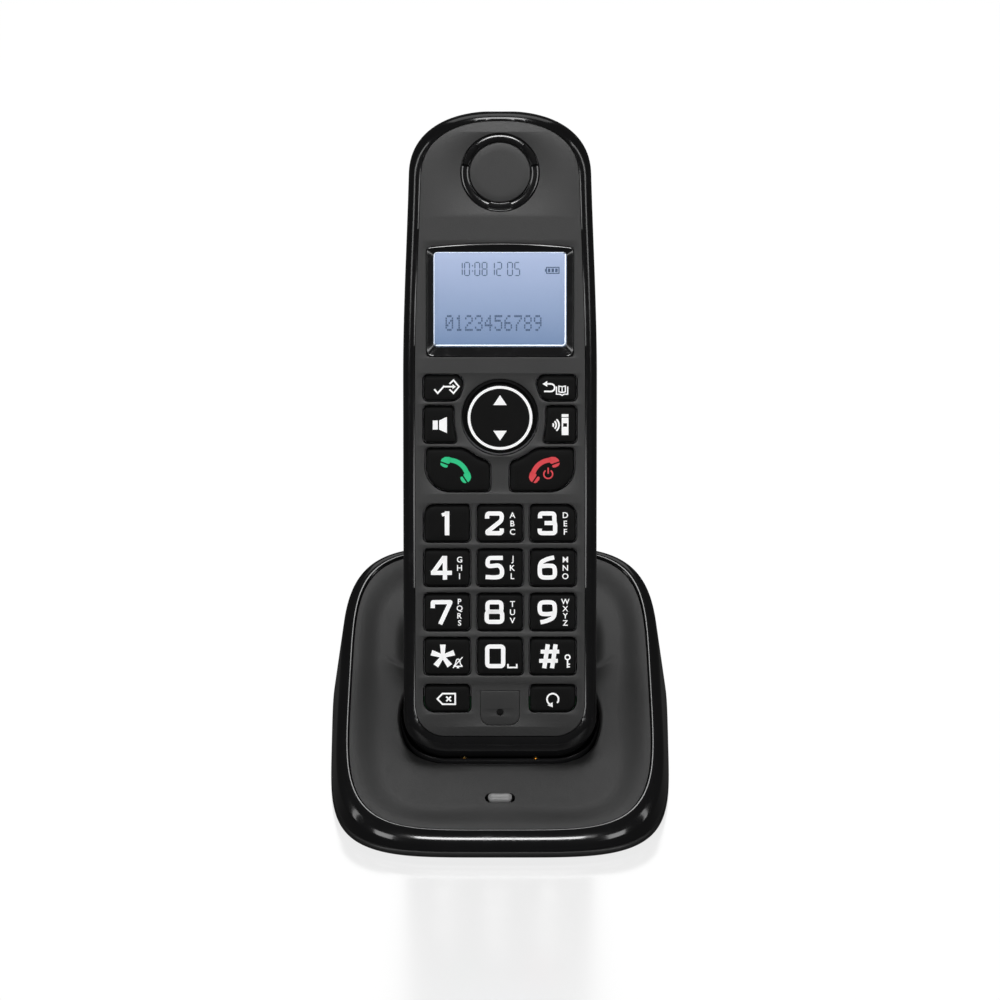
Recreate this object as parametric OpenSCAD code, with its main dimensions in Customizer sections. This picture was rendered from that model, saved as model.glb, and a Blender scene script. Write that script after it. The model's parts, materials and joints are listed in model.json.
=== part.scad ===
// Cordless telephone: a handset that stands in its charging base.
// Millimetres, +Z up, the origin on the desk under the middle of the whole, front towards -Y.

/* [Handset] */
// Length of the handset
hs_length = 164.3; // [155:0.1:200]
// Widest width of the handset
hs_width = 48.5; // [47:0.1:58]
// Width of the handset where its top curve begins
hs_top_width = 45.2; // [44:0.2:47]
// Thickness of the handset
hs_thick = 26; // [25:0.5:32]
// Thickness of the handset at its bottom end
hs_foot_thick = 19; // [18:0.5:23]
// Height of the curved top end
hs_crown = 16; // [14:0.5:20]
// Wall of the handset shells
hs_wall = 1.8; // [1.5:0.1:2.2]
// Lean of the handset back from upright, in degrees
lean = 26; // [22:1:28]

/* [Front plate and keys] */
// Width of the gloss border left and right of the front plate
plate_border = 3; // [2.8:0.1:3.2]
// Distance from the bottom end to the front plate
plate_bottom = 6.6; // [6:0.1:8]
// Distance from the top end to the front plate
plate_top = 1.8; // [1.5:0.1:3]
// Thickness of the front plate
plate_thick = 1.6; // [1.4:0.1:2]
// Width of a digit key
key_w = 11.4; // [9:0.1:11.8]
// Height of a digit key
key_h = 9.25; // [8:0.05:9.8]
// Distance between the key columns
key_pitch_x = 13.25; // [12.9:0.05:13.4]
// Distance between the key rows
key_pitch_y = 11.3; // [10.8:0.05:11.4]
// Height of the two bottom keys
low_key_h = 6.65; // [5:0.05:8]
// Distance from the bottom end to the first row of digit keys
key_row_y = 27.1; // [27:0.1:28]
// Corner radius of a key
key_r = 1; // [0.5:0.1:2]
// Height of the keys above the front plate
key_rise = 0.9; // [0.5:0.1:1.5]
// Travel of a key
key_travel = 0.7; // [0.5:0.1:0.9]
// Gap around a key
key_gap = 0.35; // [0.25:0.05:0.4]
// Diameter of the round rocker key
nav_d = 17.2; // [15:0.1:18]
// Gap around the rocker key
nav_gap = 1.1; // [0.8:0.1:1.2]
// Distance from the bottom end to the middle of the rocker key
nav_y = 87.9; // [87:0.1:89]

/* [Display and sound] */
// Width of the display frame
bezel_w = 36.8; // [34:0.1:38]
// Height of the display frame
bezel_h = 28.6; // [26:0.1:30]
// Distance from the bottom end to the display frame
bezel_y = 103.2; // [102:0.1:106]
// Width of the display window
window_w = 33.2; // [30:0.1:34]
// Height of the display window
window_h = 23.9; // [21:0.1:24.5]
// Outer diameter of the earpiece ring
ear_d = 19.6; // [17:0.1:22]
// Diameter of the disc inside the earpiece ring
ear_disc_d = 15.4; // [13:0.1:16]
// Distance from the top end to the middle of the earpiece
ear_from_top = 14.7; // [14:0.1:18]
// Diameter of the rear loudspeaker
loudspeaker_d = 20; // [16:0.5:24]

/* [Battery] */
// Diameter of a cell
cell_d = 10.5; // [10:0.1:10.8]
// Length of a cell
cell_l = 44.5; // [43:0.5:46]
// Distance from the bottom end to the battery door
door_y = 52; // [51:0.5:56]
// Length of the battery door
door_l = 54; // [52:0.5:60]
// Width of the battery door
door_w = 29; // [27:0.5:34]

/* [Base] */
// Width of the base at the desk
base_w = 86; // [78:0.2:105]
// Depth of the base at the desk
base_d = 95.6; // [90:0.2:120]
// Height of the rim at the front
rim_front = 6.8; // [6.5:0.1:8.5]
// Slope of the rim, rising to the back, in degrees
rim_slope = 15.5; // [14:0.5:18]
// Draft of the outer walls, in degrees
draft = 7; // [4:0.5:10]
// Width of the gloss rim
rim_w = 4; // [3:0.1:5]
// Wall of the base shells
base_wall = 2; // [1.6:0.1:2.4]
// Thickness of the dish
dish_thick = 2; // [1.6:0.1:2.4]
// Depth of the dish below the rim
dish_drop = 0.6; // [0.3:0.1:1]
// Height of the seam between the bottom shell and the rim
seam_z = 2.8; // [2.6:0.1:3.4]
// Height of the rubber feet below the bottom shell
foot_h = 0.8; // [0.5:0.1:1.2]
// Diameter of a rubber foot
foot_d = 9; // [6:0.5:11]
// Clearance between the handset and its pocket
pocket_gap = 1; // [0.7:0.1:1.4]
// Wall of the pocket
pocket_wall = 1.6; // [1.2:0.1:2]
// Height of the back rest along the handset
rest_h = 48; // [42:1:50]
// Width of the back rest
rest_w = 34; // [28:1:40]

/* [Page key, jacks and pins] */
// Width of the page key
page_w = 6; // [5:0.1:8]
// Depth of the page key
page_h = 2; // [1.8:0.1:3]
// Distance from the front of the dish to the page key
page_back = 9.6; // [8:0.1:11]
// Travel of the page key
page_travel = 0.6; // [0.4:0.1:0.8]
// Distance of each jack from the middle
jack_x = 15; // [12:0.5:18]
// Width of the line jack
line_w = 13; // [12:0.1:14]
// Height of the line jack
line_h = 11; // [10:0.1:12]
// Depth of the jacks
jack_l = 12; // [11:0.1:14]
// Diameter of the power jack's bore
power_bore = 6; // [5.5:0.1:6.4]
// Diameter of a charging pin
pin_d = 2.4; // [2:0.1:3]
// Distance of each charging pin from the middle
pin_x = 9; // [7:0.5:11]

/* [Hidden] */
STEPS = 8;
FAR = 200;
// stack of layers behind the face of the handset
flange_top = -plate_thick - 0.1;
flange_t = 0.7;
pusher_end = flange_top - flange_t - 0.7;
dome_top = pusher_end - key_travel - 0.1;
dome_t = 0.5;
pcb_top = dome_top - dome_t;
pcb_t = 1.6;
pcb_w = 38.4;
pcb_foot = 7.8;
// the rocker key's flange hangs lower, so that it can tilt
rocker_tilt = 3.5;
rocker_flange_d = nav_d + 2 * nav_gap + 0.4;
rocker_flange_top = flange_top - rocker_flange_d / 2 * sin(rocker_tilt) - 0.05;
rocker_flange_t = 0.5;
front_wall = plate_thick + 1.6;
flange_grow = 0.5;
ledge = 0.7;
// corner radii of the handset
chin_r = 6;
heel_r = 8;
bottom_corner_r = 11;
back_r = 11;
edge_r = 4.5;
crown_back_r = 22.5;
crown_front_r = 3.4;
taper_y = 75;
heel_y = 36;
crown_power = 2.4;
// base
base_power = 4.4;
base_top_z = 60;
// the handset stands this far behind the front edge, and its crown reaches furthest back
seat_from_front = 24;
overall_d = seat_from_front + crown_back_r + (hs_length - crown_back_r) * sin(lean)
    + (hs_thick - crown_back_r) * cos(lean);
front_y = -overall_d / 2;
base_mid_y = front_y + base_d / 2;
rim_y = front_y + rim_front * tan(draft);
pocket_lift = 2.5;
pocket_floor_z = seam_z + pocket_lift;
// the lowest point of the heel, measured from the handset's own origin
heel_low = heel_r * cos(lean) - (hs_foot_thick - heel_r) * sin(lean) - heel_r;
seat_gap = 0.5;
seat_z = pocket_floor_z + pocket_wall + seat_gap - heel_low;
seat_y = front_y + seat_from_front;
ear_y = hs_length - ear_from_top;
window_y = bezel_y + (bezel_h - window_h) / 2;
cell_y = door_y + 3.6;
cell_z = -hs_thick + 3.2 + cell_d / 2;
cell_x = cell_d / 2 + 0.25;
tray_floor = cell_z + cell_d / 2 + 0.4;
screw_d = 2.2;
screw_head_d = 4.4;
boss_d = 6;
boss_x = 0.34 * base_w;
board_w = 2 * boss_x - 0.095 * base_w;
boss_front = front_y + 16;
boss_back = front_y + base_d - 17;
page_y = rim_y + rim_w + page_back;
jack_y = front_y + base_d - 3.5 - jack_l;
jack_z = 7.2;
base_pcb_top = jack_z - 0.1;
mic_y = 12.7;
plate_boss_d = 4.2;
plate_screws = [[16.5, bezel_y + bezel_h + flange_grow + plate_boss_d / 2 + 0.3], [12, pcb_foot + plate_boss_d / 2]];
pcb_head = hs_length - 27.5;
pin_low = -3.4;
pin_tip = -0.1;
pad_z = -7.7;
pad_t = 0.8;
side_key_r = nav_d / 2 + nav_gap + key_gap + 1.45;
talk_key_r = side_key_r + 0.1;
KEYS = concat(
    [["key_ok", -14.1, 95.35, 9.8, 6.3, -1],
     ["key_back", 14.1, 95.35, 9.8, 6.3, -1],
     ["key_speaker", -14.9, 86.1, 8.2, 9.2, -1],
     ["key_intercom", 14.9, 86.1, 8.2, 9.2, -1],
     ["key_talk", -10.5, 74.6, 16, 10.8, 2],
     ["key_end", 10.5, 74.6, 16, 10.8, 3]],
    [for (i = [1 : 9]) [str("key_", i), ((i - 1) % 3 - 1) * key_pitch_x,
        key_row_y + (3 - floor((i - 1) / 3)) * key_pitch_y, key_w, key_h, i == 1 ? 0 : i == 3 ? 1 : -1]],
    [["key_star", -key_pitch_x, key_row_y, key_w, key_h, -1],
     ["key_0", 0, key_row_y, key_w, key_h, -1],
     ["key_hash", key_pitch_x, key_row_y, key_w, key_h, -1],
     ["key_flash", -key_pitch_x, key_row_y - 10.75, key_w, low_key_h, 2],
     ["key_redial", key_pitch_x, key_row_y - 10.75, key_w, low_key_h, 3]]);

// ---- outlines ----
function arc(cx, cy, r, a0, a1) = [for (i = [0 : STEPS])
    let (a = a0 + (a1 - a0) * i / STEPS) [cx + r * cos(a), cy + r * sin(a)]];

function mirrored(p) = concat(p, [for (i = [len(p) - 1 : -1 : 0]) [-p[i][0], p[i][1]]]);

// rounded rectangle about (cx, cy) with one corner, numbered from the top left, rounder than the others
function round_box(cx, cy, w, h, r, big = -1, big_r = 2.6) =
    let (c = [for (i = [0 : 3]) i == big ? big_r : r], x = w / 2, y = h / 2)
    concat(arc(cx + x - c[1], cy + y - c[1], c[1], 0, 90), arc(cx - x + c[0], cy + y - c[0], c[0], 90, 180),
           arc(cx - x + c[2], cy - y + c[2], c[2], 180, 270), arc(cx + x - c[3], cy - y + c[3], c[3], 270, 360));

function super_point(a, b, power, t) =
    [a * sign(cos(t)) * pow(abs(cos(t)), 2 / power), b * sign(sin(t)) * pow(abs(sin(t)), 2 / power)];

// front outline of the handset, drawn in by d; side is half the widest width, foot and head trim the ends
function outline(side, foot, head, corner) =
    let (shrink = hs_width / 2 - side, top = hs_top_width / 2 - shrink, crown = hs_crown - head,
         base_y = hs_length - hs_crown)
    mirrored(concat(arc(side - corner, foot + corner, corner, -90, 0), [[side, taper_y]],
        [for (i = [0 : 2 * STEPS]) let (p = super_point(top, crown, crown_power, 90 * i / (2 * STEPS)))
            [p[0], base_y + p[1]]]));

// side profile of the handset, drawn in by d: y along the length, z out of the face
function profile(d) = concat(
    arc(chin_r, -chin_r, chin_r - d, 90, 180),
    arc(heel_r, heel_r - hs_foot_thick, heel_r - d, 180, 256),
    [[heel_y, -hs_thick + d]],
    arc(hs_length - crown_back_r, crown_back_r - hs_thick, crown_back_r - d, -90, 0),
    arc(hs_length - crown_front_r, -crown_front_r, crown_front_r - d, 0, 90));

// cross-section of the handset, drawn in by d
function section(d) = mirrored(concat(
    arc(hs_width / 2 - back_r, back_r - hs_thick, back_r - d, -90, 0),
    arc(hs_width / 2 - edge_r, -edge_r, edge_r - d, 0, 90)));

function base_outline(d) = [for (i = [0 : 12 * STEPS - 1])
    super_point(base_w / 2 - d, base_d / 2 - d, base_power, 360 * i / (12 * STEPS))
    + [0, base_mid_y]];

// ---- frames and forms ----
module on_handset() translate([0, seat_y, seat_z]) rotate([90 - lean, 0, 0]) children();

module on_rim() translate([0, rim_y, rim_front]) rotate([rim_slope, 0, 0]) children();

module plate(z0, z1) translate([0, 0, z0]) linear_extrude(z1 - z0) children();

// the handset's solid form in its own frame, drawn in by d (grown where d is negative)
module handset_form(d) {
    intersection() {
        plate(-hs_thick - 10, 10) polygon(outline(hs_width / 2 - d, d, d, bottom_corner_r - d));
        rotate([90, 0, 90]) plate(-FAR / 2, FAR / 2) polygon(profile(d));
        rotate([90, 0, 0]) plate(-hs_length - 10, 10) polygon(section(d));
    }
}

module base_form(d) {
    hull() {
        plate(0, 0.01) polygon(base_outline(d));
        plate(base_top_z, base_top_z + 0.01) polygon(base_outline(d + base_top_z * tan(draft)));
    }
}

// everything more than drop below the rim's plane
module below_rim(drop) on_rim() translate([-FAR / 2, -FAR / 2, -FAR - drop]) cube(FAR);

module above(z) translate([-FAR / 2, -FAR / 2, z]) cube(FAR);

module plate_outline(d) {
    polygon(outline(hs_width / 2 - plate_border - d, plate_bottom + d, plate_top + d, 7.5 - d));
}

module key_shape(k, g) {
    difference() {
        polygon(round_box(k[1], k[2], k[3] + 2 * g, k[4] + 2 * g, key_r + g, k[5], (k[2] > 65 ? 5 : 2.6) + g));
        if (k[2] > 65) translate([0, nav_y]) circle(r = (k[2] < 80 ? talk_key_r : side_key_r) - g, $fn = 96);
    }
}

module bezel_outline(g) {
    polygon(round_box(0, bezel_y + bezel_h / 2, bezel_w + 2 * g, bezel_h + 2 * g, 0.8 + g));
}

module window_outline(g) {
    polygon(round_box(0, window_y + window_h / 2, window_w + 2 * g, window_h + 2 * g, 0.6 + g));
}

module tube_z(d_out, d_in, z0, z1) {
    difference() {
        translate([0, 0, z0]) cylinder(d = d_out, h = z1 - z0, $fn = 64);
        translate([0, 0, z0 - 1]) cylinder(d = d_in, h = z1 - z0 + 2, $fn = 64);
    }
}

module screw(len) {
    cylinder(d = screw_d, h = len, $fn = 32);
    translate([0, 0, -1.4]) difference() {
        cylinder(d = screw_head_d, h = 1.4, $fn = 32);
        translate([-0.4, -1.5, -1]) cube([0.8, 3, 1.7]);
        translate([-1.5, -0.4, -1]) cube([3, 0.8, 1.7]);
    }
}

module at_bosses() for (x = [-1, 1]) for (y = [boss_front, boss_back]) translate([x * boss_x, y, 0]) children();

// ---- base ----
module base_bottom_shell() {
    color("#101010") difference() {
        union() {
            intersection() {
                base_form(0);
                plate(foot_h, seam_z) square(FAR, center = true);
            }
            for (x = [-1, 1]) translate([x * (board_w / 2 - boss_d / 2), jack_y - 8, seam_z - 0.5])
                cylinder(d = boss_d, h = base_pcb_top - pcb_t - seam_z + 0.5, $fn = 32);
        }
        at_bosses() translate([0, 0, -1]) cylinder(d = screw_d + 0.4, h = 10, $fn = 32);
        at_bosses() translate([0, 0, -1]) cylinder(d = screw_head_d + 0.6, h = foot_h + 2.2, $fn = 32);
        at_feet() translate([0, 0, -1]) cylinder(d = foot_d + 0.2, h = foot_h + 1.6, $fn = 48);
    }
}

module at_feet() {
    for (x = [-1, 1]) for (y = [boss_front - 2, boss_back + 2])
        translate([x * (boss_x - foot_d - 1), y, 0]) children();
}

module base_feet() color("#2a2a2a") at_feet() cylinder(d = foot_d, h = foot_h + 0.6, $fn = 48);

module base_screws() color("silver") at_bosses() translate([0, 0, foot_h + 1.2]) screw(7);

module jack_cuts() {
    for (s = [[-jack_x, line_w], [jack_x, line_h]])
        translate([s[0] - s[1] / 2 - 0.1, jack_y - 0.5, jack_z - 0.1]) cube([s[1] + 0.2, 40, line_h + 0.2]);
}

module base_gloss_rim() {
    color("#0a0a0a") difference() {
        intersection() {
            base_form(0);
            above(seam_z + 0.05);
            below_rim(0);
        }
        intersection() {
            base_form(base_wall);
            below_rim(dish_drop + dish_thick + 1.4);
        }
        base_form(rim_w + base_wall);
        difference() {
            base_form(rim_w);
            below_rim(dish_drop + dish_thick + 0.1);
        }
        jack_cuts();
        at_bosses() translate([0, 0, -1]) cylinder(d = boss_d + 0.4, h = 60, $fn = 32);
    }
}

module base_dish_cover() {
    color("#1c1c1c") difference() {
        union() {
            difference() {
                intersection() {
                    base_form(rim_w + 0.15);
                    below_rim(dish_drop);
                }
                below_rim(dish_drop + dish_thick);
            }
            intersection() {
                at_bosses() cylinder(d = boss_d, h = 60, $fn = 32);
                above(seam_z + 0.1);
                below_rim(dish_drop + 0.5);
            }
        }
        on_handset() handset_form(-pocket_gap - pocket_wall - 0.2);
        at_bosses() cylinder(d = screw_d + 0.1, h = foot_h + 9, $fn = 32);
        on_rim() translate([0, rim_w + page_back, 0]) plate(-20, 5)
            polygon(round_box(0, 0, page_w + 1.7, page_h + 1.1, 1.5));
    }
}

module cradle_pocket() {
    color("#0d0d0d") difference() {
        intersection() {
            on_handset() handset_form(-pocket_gap - pocket_wall);
            above(pocket_floor_z);
            union() {
                below_rim(dish_drop);
                on_handset() translate([-rest_w / 2, 0, -FAR - 12]) cube([rest_w, rest_h, FAR]);
            }
        }
        on_handset() handset_form(-pocket_gap);
        at_pins() translate([0, 0, -20]) cylinder(d = pin_d + 0.2, h = 40, $fn = 32);
    }
}

// the charging pins point along the handset's length
module at_pin(side) on_handset() translate([side * pin_x, 0, pad_z]) rotate([-90, 0, 0]) children();

module at_pins() for (s = [-1, 1]) at_pin(s) children();

module charge_pin(side) {
    color("gold") at_pin(side) {
        translate([0, 0, pin_low]) cylinder(d = pin_d, h = pin_tip - 0.5 - pin_low, $fn = 32);
        translate([0, 0, pin_tip - 0.5]) cylinder(d1 = pin_d, d2 = pin_d / 2, h = 0.5, $fn = 32);
    }
}

module charge_springs() {
    color("silver") at_pins() tube_z(pin_d + 1.4, pin_d + 0.5, pin_low, -pocket_gap - pocket_wall - 0.05);
}

module base_circuit_board() {
    color("#1f5a34") difference() {
        union() {
            translate([-board_w / 2, jack_y - 20, base_pcb_top - pcb_t]) cube([board_w, 19 + jack_l, pcb_t]);
            for (p = [[-6, 9, 9, 8, 1.5], [7, 10, 5, 5, 1.2], [16, 9, 6, 8, 4], [-22, 9, 8, 6, 3]])
                translate([p[0], jack_y - 20 + p[1], base_pcb_top - 0.01]) cube([p[2], p[3], p[4]]);
        }
        on_handset() handset_form(-pocket_gap - pocket_wall - 0.3);
    }
}

module line_jack() {
    color("#202020") difference() {
        translate([-jack_x - line_w / 2, jack_y, jack_z]) cube([line_w, jack_l + 2, line_h]);
        translate([-jack_x - 4.9, jack_y + 1.5, jack_z + 2]) cube([9.8, FAR, 6.7]);
        translate([-jack_x - 3.2, jack_y + 1.5, jack_z + 1]) cube([6.4, FAR, 2]);
        difference() {
            translate([-FAR / 2, jack_y, 0]) cube([FAR, FAR, FAR / 4]);
            base_form(0.2);
        }
    }
}

module power_jack() {
    color("#202020") {
        difference() {
            translate([jack_x - line_h / 2, jack_y, jack_z]) cube([line_h, jack_l + 2, line_h]);
            translate([jack_x, jack_y + 2, jack_z + line_h / 2]) rotate([-90, 0, 0])
                cylinder(d = power_bore, h = 40, $fn = 48);
            difference() {
                translate([-FAR / 2, jack_y, 0]) cube([FAR, FAR, FAR / 4]);
                base_form(0.2);
            }
        }
        translate([jack_x, jack_y + 1, jack_z + line_h / 2]) rotate([-90, 0, 0])
            cylinder(d = 2, h = jack_l - 3, $fn = 32);
    }
}

module page_key() {
    color("#8c8c8c") on_rim() translate([0, rim_w + page_back, 0]) {
        plate(-dish_drop - 0.4, 0) polygon(round_box(0, 0, page_w, page_h, page_h / 2 - 0.01));
        plate(-dish_drop - 2.6, -dish_drop - 0.4) square([page_w - 2, page_h], center = true);
    }
}

module page_switch() {
    color("#303030") intersection() {
        translate([-3, page_y - 2.6, seam_z + 0.05]) cube([6, 5.4, 6]);
        below_rim(dish_drop + 2.6 + page_travel + 0.1);
    }
}

// ---- handset shells ----
module handset_back_shell() {
    color("#0a0a0a") on_handset() difference() {
        handset_form(0);
        intersection() {
            handset_form(hs_wall);
            plate(-hs_thick - 1, -front_wall) square(4 * FAR, center = true);
        }
        plate(-plate_thick - 0.05, 1) plate_outline(-0.15);
        plate(-front_wall - 1, 1) plate_outline(ledge);
        door_cut(0.15, -1);
        for (x = [-1, 1]) translate([x * pin_x, -1, pad_z]) rotate([-90, 0, 0])
            cylinder(d = 4.2, h = 5, $fn = 32);
        at_grille() translate([0, 0, -hs_thick - 1]) cylinder(d = 1.6, h = 4, $fn = 24);
    }
}

module door_cut(g, sink) {
    translate([-door_w / 2 - g, door_y - g, -hs_thick - 1])
        cube([door_w + 2 * g, door_l + 2 * g, hs_wall + 1 - sink]);
}

module at_grille() {
    translate([0, hs_length - 37.5, 0]) {
        for (i = [0 : 5]) rotate(i * 60) translate([4, 0, 0]) children();
        for (i = [0 : 11]) rotate(i * 30) translate([7.6, 0, 0]) children();
        children();
    }
}

module handset_front_plate() {
    color("#1c1c1c") on_handset() difference() {
        union() {
            plate(-plate_thick, 0) plate_outline(0);
            at_plate_screws() translate([0, 0, pcb_top + 0.05])
                cylinder(d = plate_boss_d, h = -pcb_top - 0.5, $fn = 32);
        }
        at_plate_screws() translate([0, 0, pcb_top - 1])
            cylinder(d = screw_d + 0.1, h = -plate_thick - pcb_top + 1, $fn = 32);
        for (k = KEYS) plate(-5, 5) key_shape(k, key_gap);
        translate([0, nav_y, -5]) cylinder(d = nav_d + 2 * nav_gap, h = 10, $fn = 96);
        plate(-5, 5) bezel_outline(0.1);
        translate([0, ear_y, -5]) cylinder(d = ear_d + 0.2, h = 10, $fn = 96);
        translate([0, mic_y, -5]) cylinder(d = 1.8, h = 10, $fn = 24);
    }
}

module at_plate_screws() {
    for (x = [-1, 1]) for (p = plate_screws) translate([x * p[0], p[1], 0]) children();
}

module battery_door() {
    color("#0a0a0a") on_handset() intersection() {
        handset_form(0);
        translate([0, 0.02, -0.02]) door_cut(0, 0.25);
    }
}

module handset_charge_pads() {
    color("gold") on_handset() for (x = [-1, 1])
        translate([x * pin_x, 0, pad_z]) rotate([-90, 0, 0]) {
            cylinder(d = 4, h = pad_t, $fn = 32);
            translate([0, 0, pad_t - 0.01]) cylinder(d = 2, h = 3, $fn = 24);
        }
}

// ---- handset front ----
module display_frame() {
    color("#0a0a0a") on_handset() difference() {
        union() {
            plate(-plate_thick - 0.5, 0) bezel_outline(0);
            plate(-plate_thick - 0.5, -plate_thick - 0.05) bezel_outline(0.5);
        }
        plate(-5, 5) window_outline(0.1);
    }
}

module display_lens() color("lightblue", 0.5) on_handset() plate(-1.7, -0.9) window_outline(0);

module display_panel() color("#9fb4d8") on_handset() plate(-3.8, -2.15) window_outline(0.8);

module display_backlight() color("white") on_handset() plate(pcb_top + 0.05, -3.85) window_outline(0.8);

module earpiece_ring() {
    color("#0a0a0a") on_handset() translate([0, ear_y, 0]) difference() {
        tube_z(ear_d, ear_disc_d + 0.1, -plate_thick, 0.3);
        for (a = [30, 150, 270]) rotate(a) intersection() {
            tube_z((ear_d + ear_disc_d) / 2 + 1.1, (ear_d + ear_disc_d) / 2 - 1.1, -5, 5);
            plate(-6, 6) polygon([[0, 0], [FAR, -FAR * tan(19)], [FAR, FAR * tan(19)]]);
        }
    }
}

module earpiece_disc() {
    color("#1c1c1c") on_handset() translate([0, ear_y, -plate_thick])
        cylinder(d = ear_disc_d, h = plate_thick, $fn = 96);
}

module earpiece_speaker() {
    color("#404040") on_handset() translate([0, ear_y, -6.2]) {
        cylinder(d = ear_disc_d, h = 4, $fn = 64);
        cylinder(d = ear_disc_d - 5, h = 4.4, $fn = 64);
    }
}

module loudspeaker() {
    color("#404040") on_handset() translate([0, hs_length - 37.5, -hs_thick + hs_wall + 0.2]) {
        cylinder(d = loudspeaker_d, h = 3, $fn = 64);
        cylinder(d = loudspeaker_d - 8, h = 5, $fn = 64);
    }
}

module microphone() {
    color("silver") on_handset() translate([0, mic_y, pcb_top])
        cylinder(d = 6, h = -plate_thick - 0.3 - pcb_top, $fn = 48);
}

module handset_circuit_board() {
    color("#1f5a34") on_handset() difference() {
        union() {
            translate([-pcb_w / 2, pcb_foot, pcb_top - pcb_t]) cube([pcb_w, pcb_head - pcb_foot, pcb_t]);
            for (p = [[-6, 106, 12, 12, 1.4], [-15, 118, 6, 8, 1.2], [9, 104, 7, 5, 1], [6, 121, 10, 4, 2]])
                translate([p[0], p[1], pcb_top - pcb_t - p[4]]) cube([p[2], p[3], p[4] + 0.01]);
        }
        at_plate_screws() translate([0, 0, -FAR / 2]) cylinder(d = screw_d + 0.2, h = FAR, $fn = 32);
    }
}

module key_dome_sheet() {
    color("#5a5a5a") on_handset()
        translate([-pcb_w / 2, mic_y + 3.4, pcb_top]) cube([pcb_w, bezel_y - mic_y - 5, dome_t]);
}

module battery_tray() {
    color("#161616") on_handset() difference() {
        translate([-2 * cell_x - 2.4, cell_y - 1.2, -hs_thick + hs_wall + 0.4])
            cube([4 * cell_x + 4.8, cell_l + 2.4, tray_floor + 1.2 + hs_thick - hs_wall - 0.4]);
        translate([-2 * cell_x - 1, cell_y - 0.6, -hs_thick]) cube([4 * cell_x + 2, cell_l + 1.2, tray_floor + hs_thick]);
    }
}

module at_cells() {
    for (s = [-1, 1]) translate([s * cell_x, cell_y + cell_l / 2, cell_z]) rotate([-90 * s, 0, 0]) children();
}

module battery_cells() {
    color("#3a6ea5") on_handset() at_cells() {
        translate([0, 0, -cell_l / 2]) cylinder(d = cell_d, h = cell_l - 1.2, $fn = 48);
        translate([0, 0, cell_l / 2 - 1.3]) cylinder(d = 3.6, h = 1.3, $fn = 32);
    }
}

module battery_contacts() {
    color("silver") on_handset() at_cells() {
        translate([-3.5, -3.5, cell_l / 2 + 0.05]) cube([7, 7, 0.45]);
        translate([-3.5, -3.5, -cell_l / 2 - 0.5]) cube([7, 7, 0.45]);
    }
}

module handset_screws() {
    color("silver") on_handset() at_plate_screws() translate([0, 0, pcb_top - pcb_t - 0.02])
        screw(-plate_thick - 0.2 - pcb_top + pcb_t);
}

// ---- keys ----
module key(k) {
    color("#141414") on_handset() {
        plate(flange_top, key_rise) key_shape(k, 0);
        plate(flange_top - flange_t, flange_top) key_shape(k, flange_grow);
        translate([k[1] - 1.5, k[2] - 1.5, pusher_end]) cube([3, 3, flange_top - flange_t - pusher_end + 0.01]);
    }
}

module key_rocker() {
    color("#141414") on_handset() translate([0, nav_y, 0]) {
        translate([0, 0, rocker_flange_top - rocker_flange_t])
            cylinder(d = nav_d, h = key_rise - rocker_flange_top + rocker_flange_t, $fn = 96);
        translate([0, 0, rocker_flange_top - rocker_flange_t])
            cylinder(d = rocker_flange_d, h = rocker_flange_t, $fn = 96);
        for (y = [-5.5, 5.5]) translate([-1.5, y - 1.5, dome_top + 0.45])
            cube([3, 3, rocker_flange_top - dome_top - 0.5]);
    }
}

base_bottom_shell();
base_gloss_rim();
base_dish_cover();
cradle_pocket();
base_feet();
base_screws();
base_circuit_board();
line_jack();
power_jack();
page_key();
page_switch();
charge_pin(-1);  // charge_pin_left
charge_pin(1);  // charge_pin_right
charge_springs();
handset_back_shell();
handset_front_plate();
battery_door();
display_frame();
display_lens();
display_panel();
display_backlight();
earpiece_ring();
earpiece_disc();
earpiece_speaker();
loudspeaker();
microphone();
handset_circuit_board();
key_dome_sheet();
battery_tray();
battery_cells();
battery_contacts();
handset_charge_pads();
handset_screws();
key_rocker();
for (k = KEYS) key(k);
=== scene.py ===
"""Cordless telephone standing in its charging base: the finished shells, keys, print, display and materials."""
import json
import math
from collections import namedtuple

import bmesh
import bpy
import numpy as np
from mathutils import Matrix, Vector


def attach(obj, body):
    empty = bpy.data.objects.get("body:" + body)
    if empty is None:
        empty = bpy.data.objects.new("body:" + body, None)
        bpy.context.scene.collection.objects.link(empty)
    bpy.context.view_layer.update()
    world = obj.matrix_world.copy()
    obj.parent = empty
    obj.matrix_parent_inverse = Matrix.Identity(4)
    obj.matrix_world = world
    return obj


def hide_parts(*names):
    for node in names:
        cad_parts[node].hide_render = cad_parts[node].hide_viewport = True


MM = 0.001
TURN = 2 * math.pi

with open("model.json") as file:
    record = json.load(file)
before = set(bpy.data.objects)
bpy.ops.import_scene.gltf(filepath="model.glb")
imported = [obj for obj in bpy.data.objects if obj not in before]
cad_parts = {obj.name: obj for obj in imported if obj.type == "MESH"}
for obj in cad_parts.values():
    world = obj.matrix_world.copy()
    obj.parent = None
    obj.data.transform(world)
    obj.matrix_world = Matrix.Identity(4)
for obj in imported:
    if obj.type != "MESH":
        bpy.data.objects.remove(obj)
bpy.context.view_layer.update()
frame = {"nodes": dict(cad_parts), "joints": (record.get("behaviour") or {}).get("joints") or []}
nodes = frame["nodes"]
axes = {j["name"]: Vector(j["axis"]).normalized() for j in frame["joints"]}


# ---------------------------------------------------------------- frames of the handset and of the rim
def corners_in(mesh):
    flat = np.zeros(len(mesh.vertices) * 3)
    mesh.vertices.foreach_get("co", flat)
    return flat.reshape(-1, 3)


def vertices(node):
    return corners_in(nodes[node].data)


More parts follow.
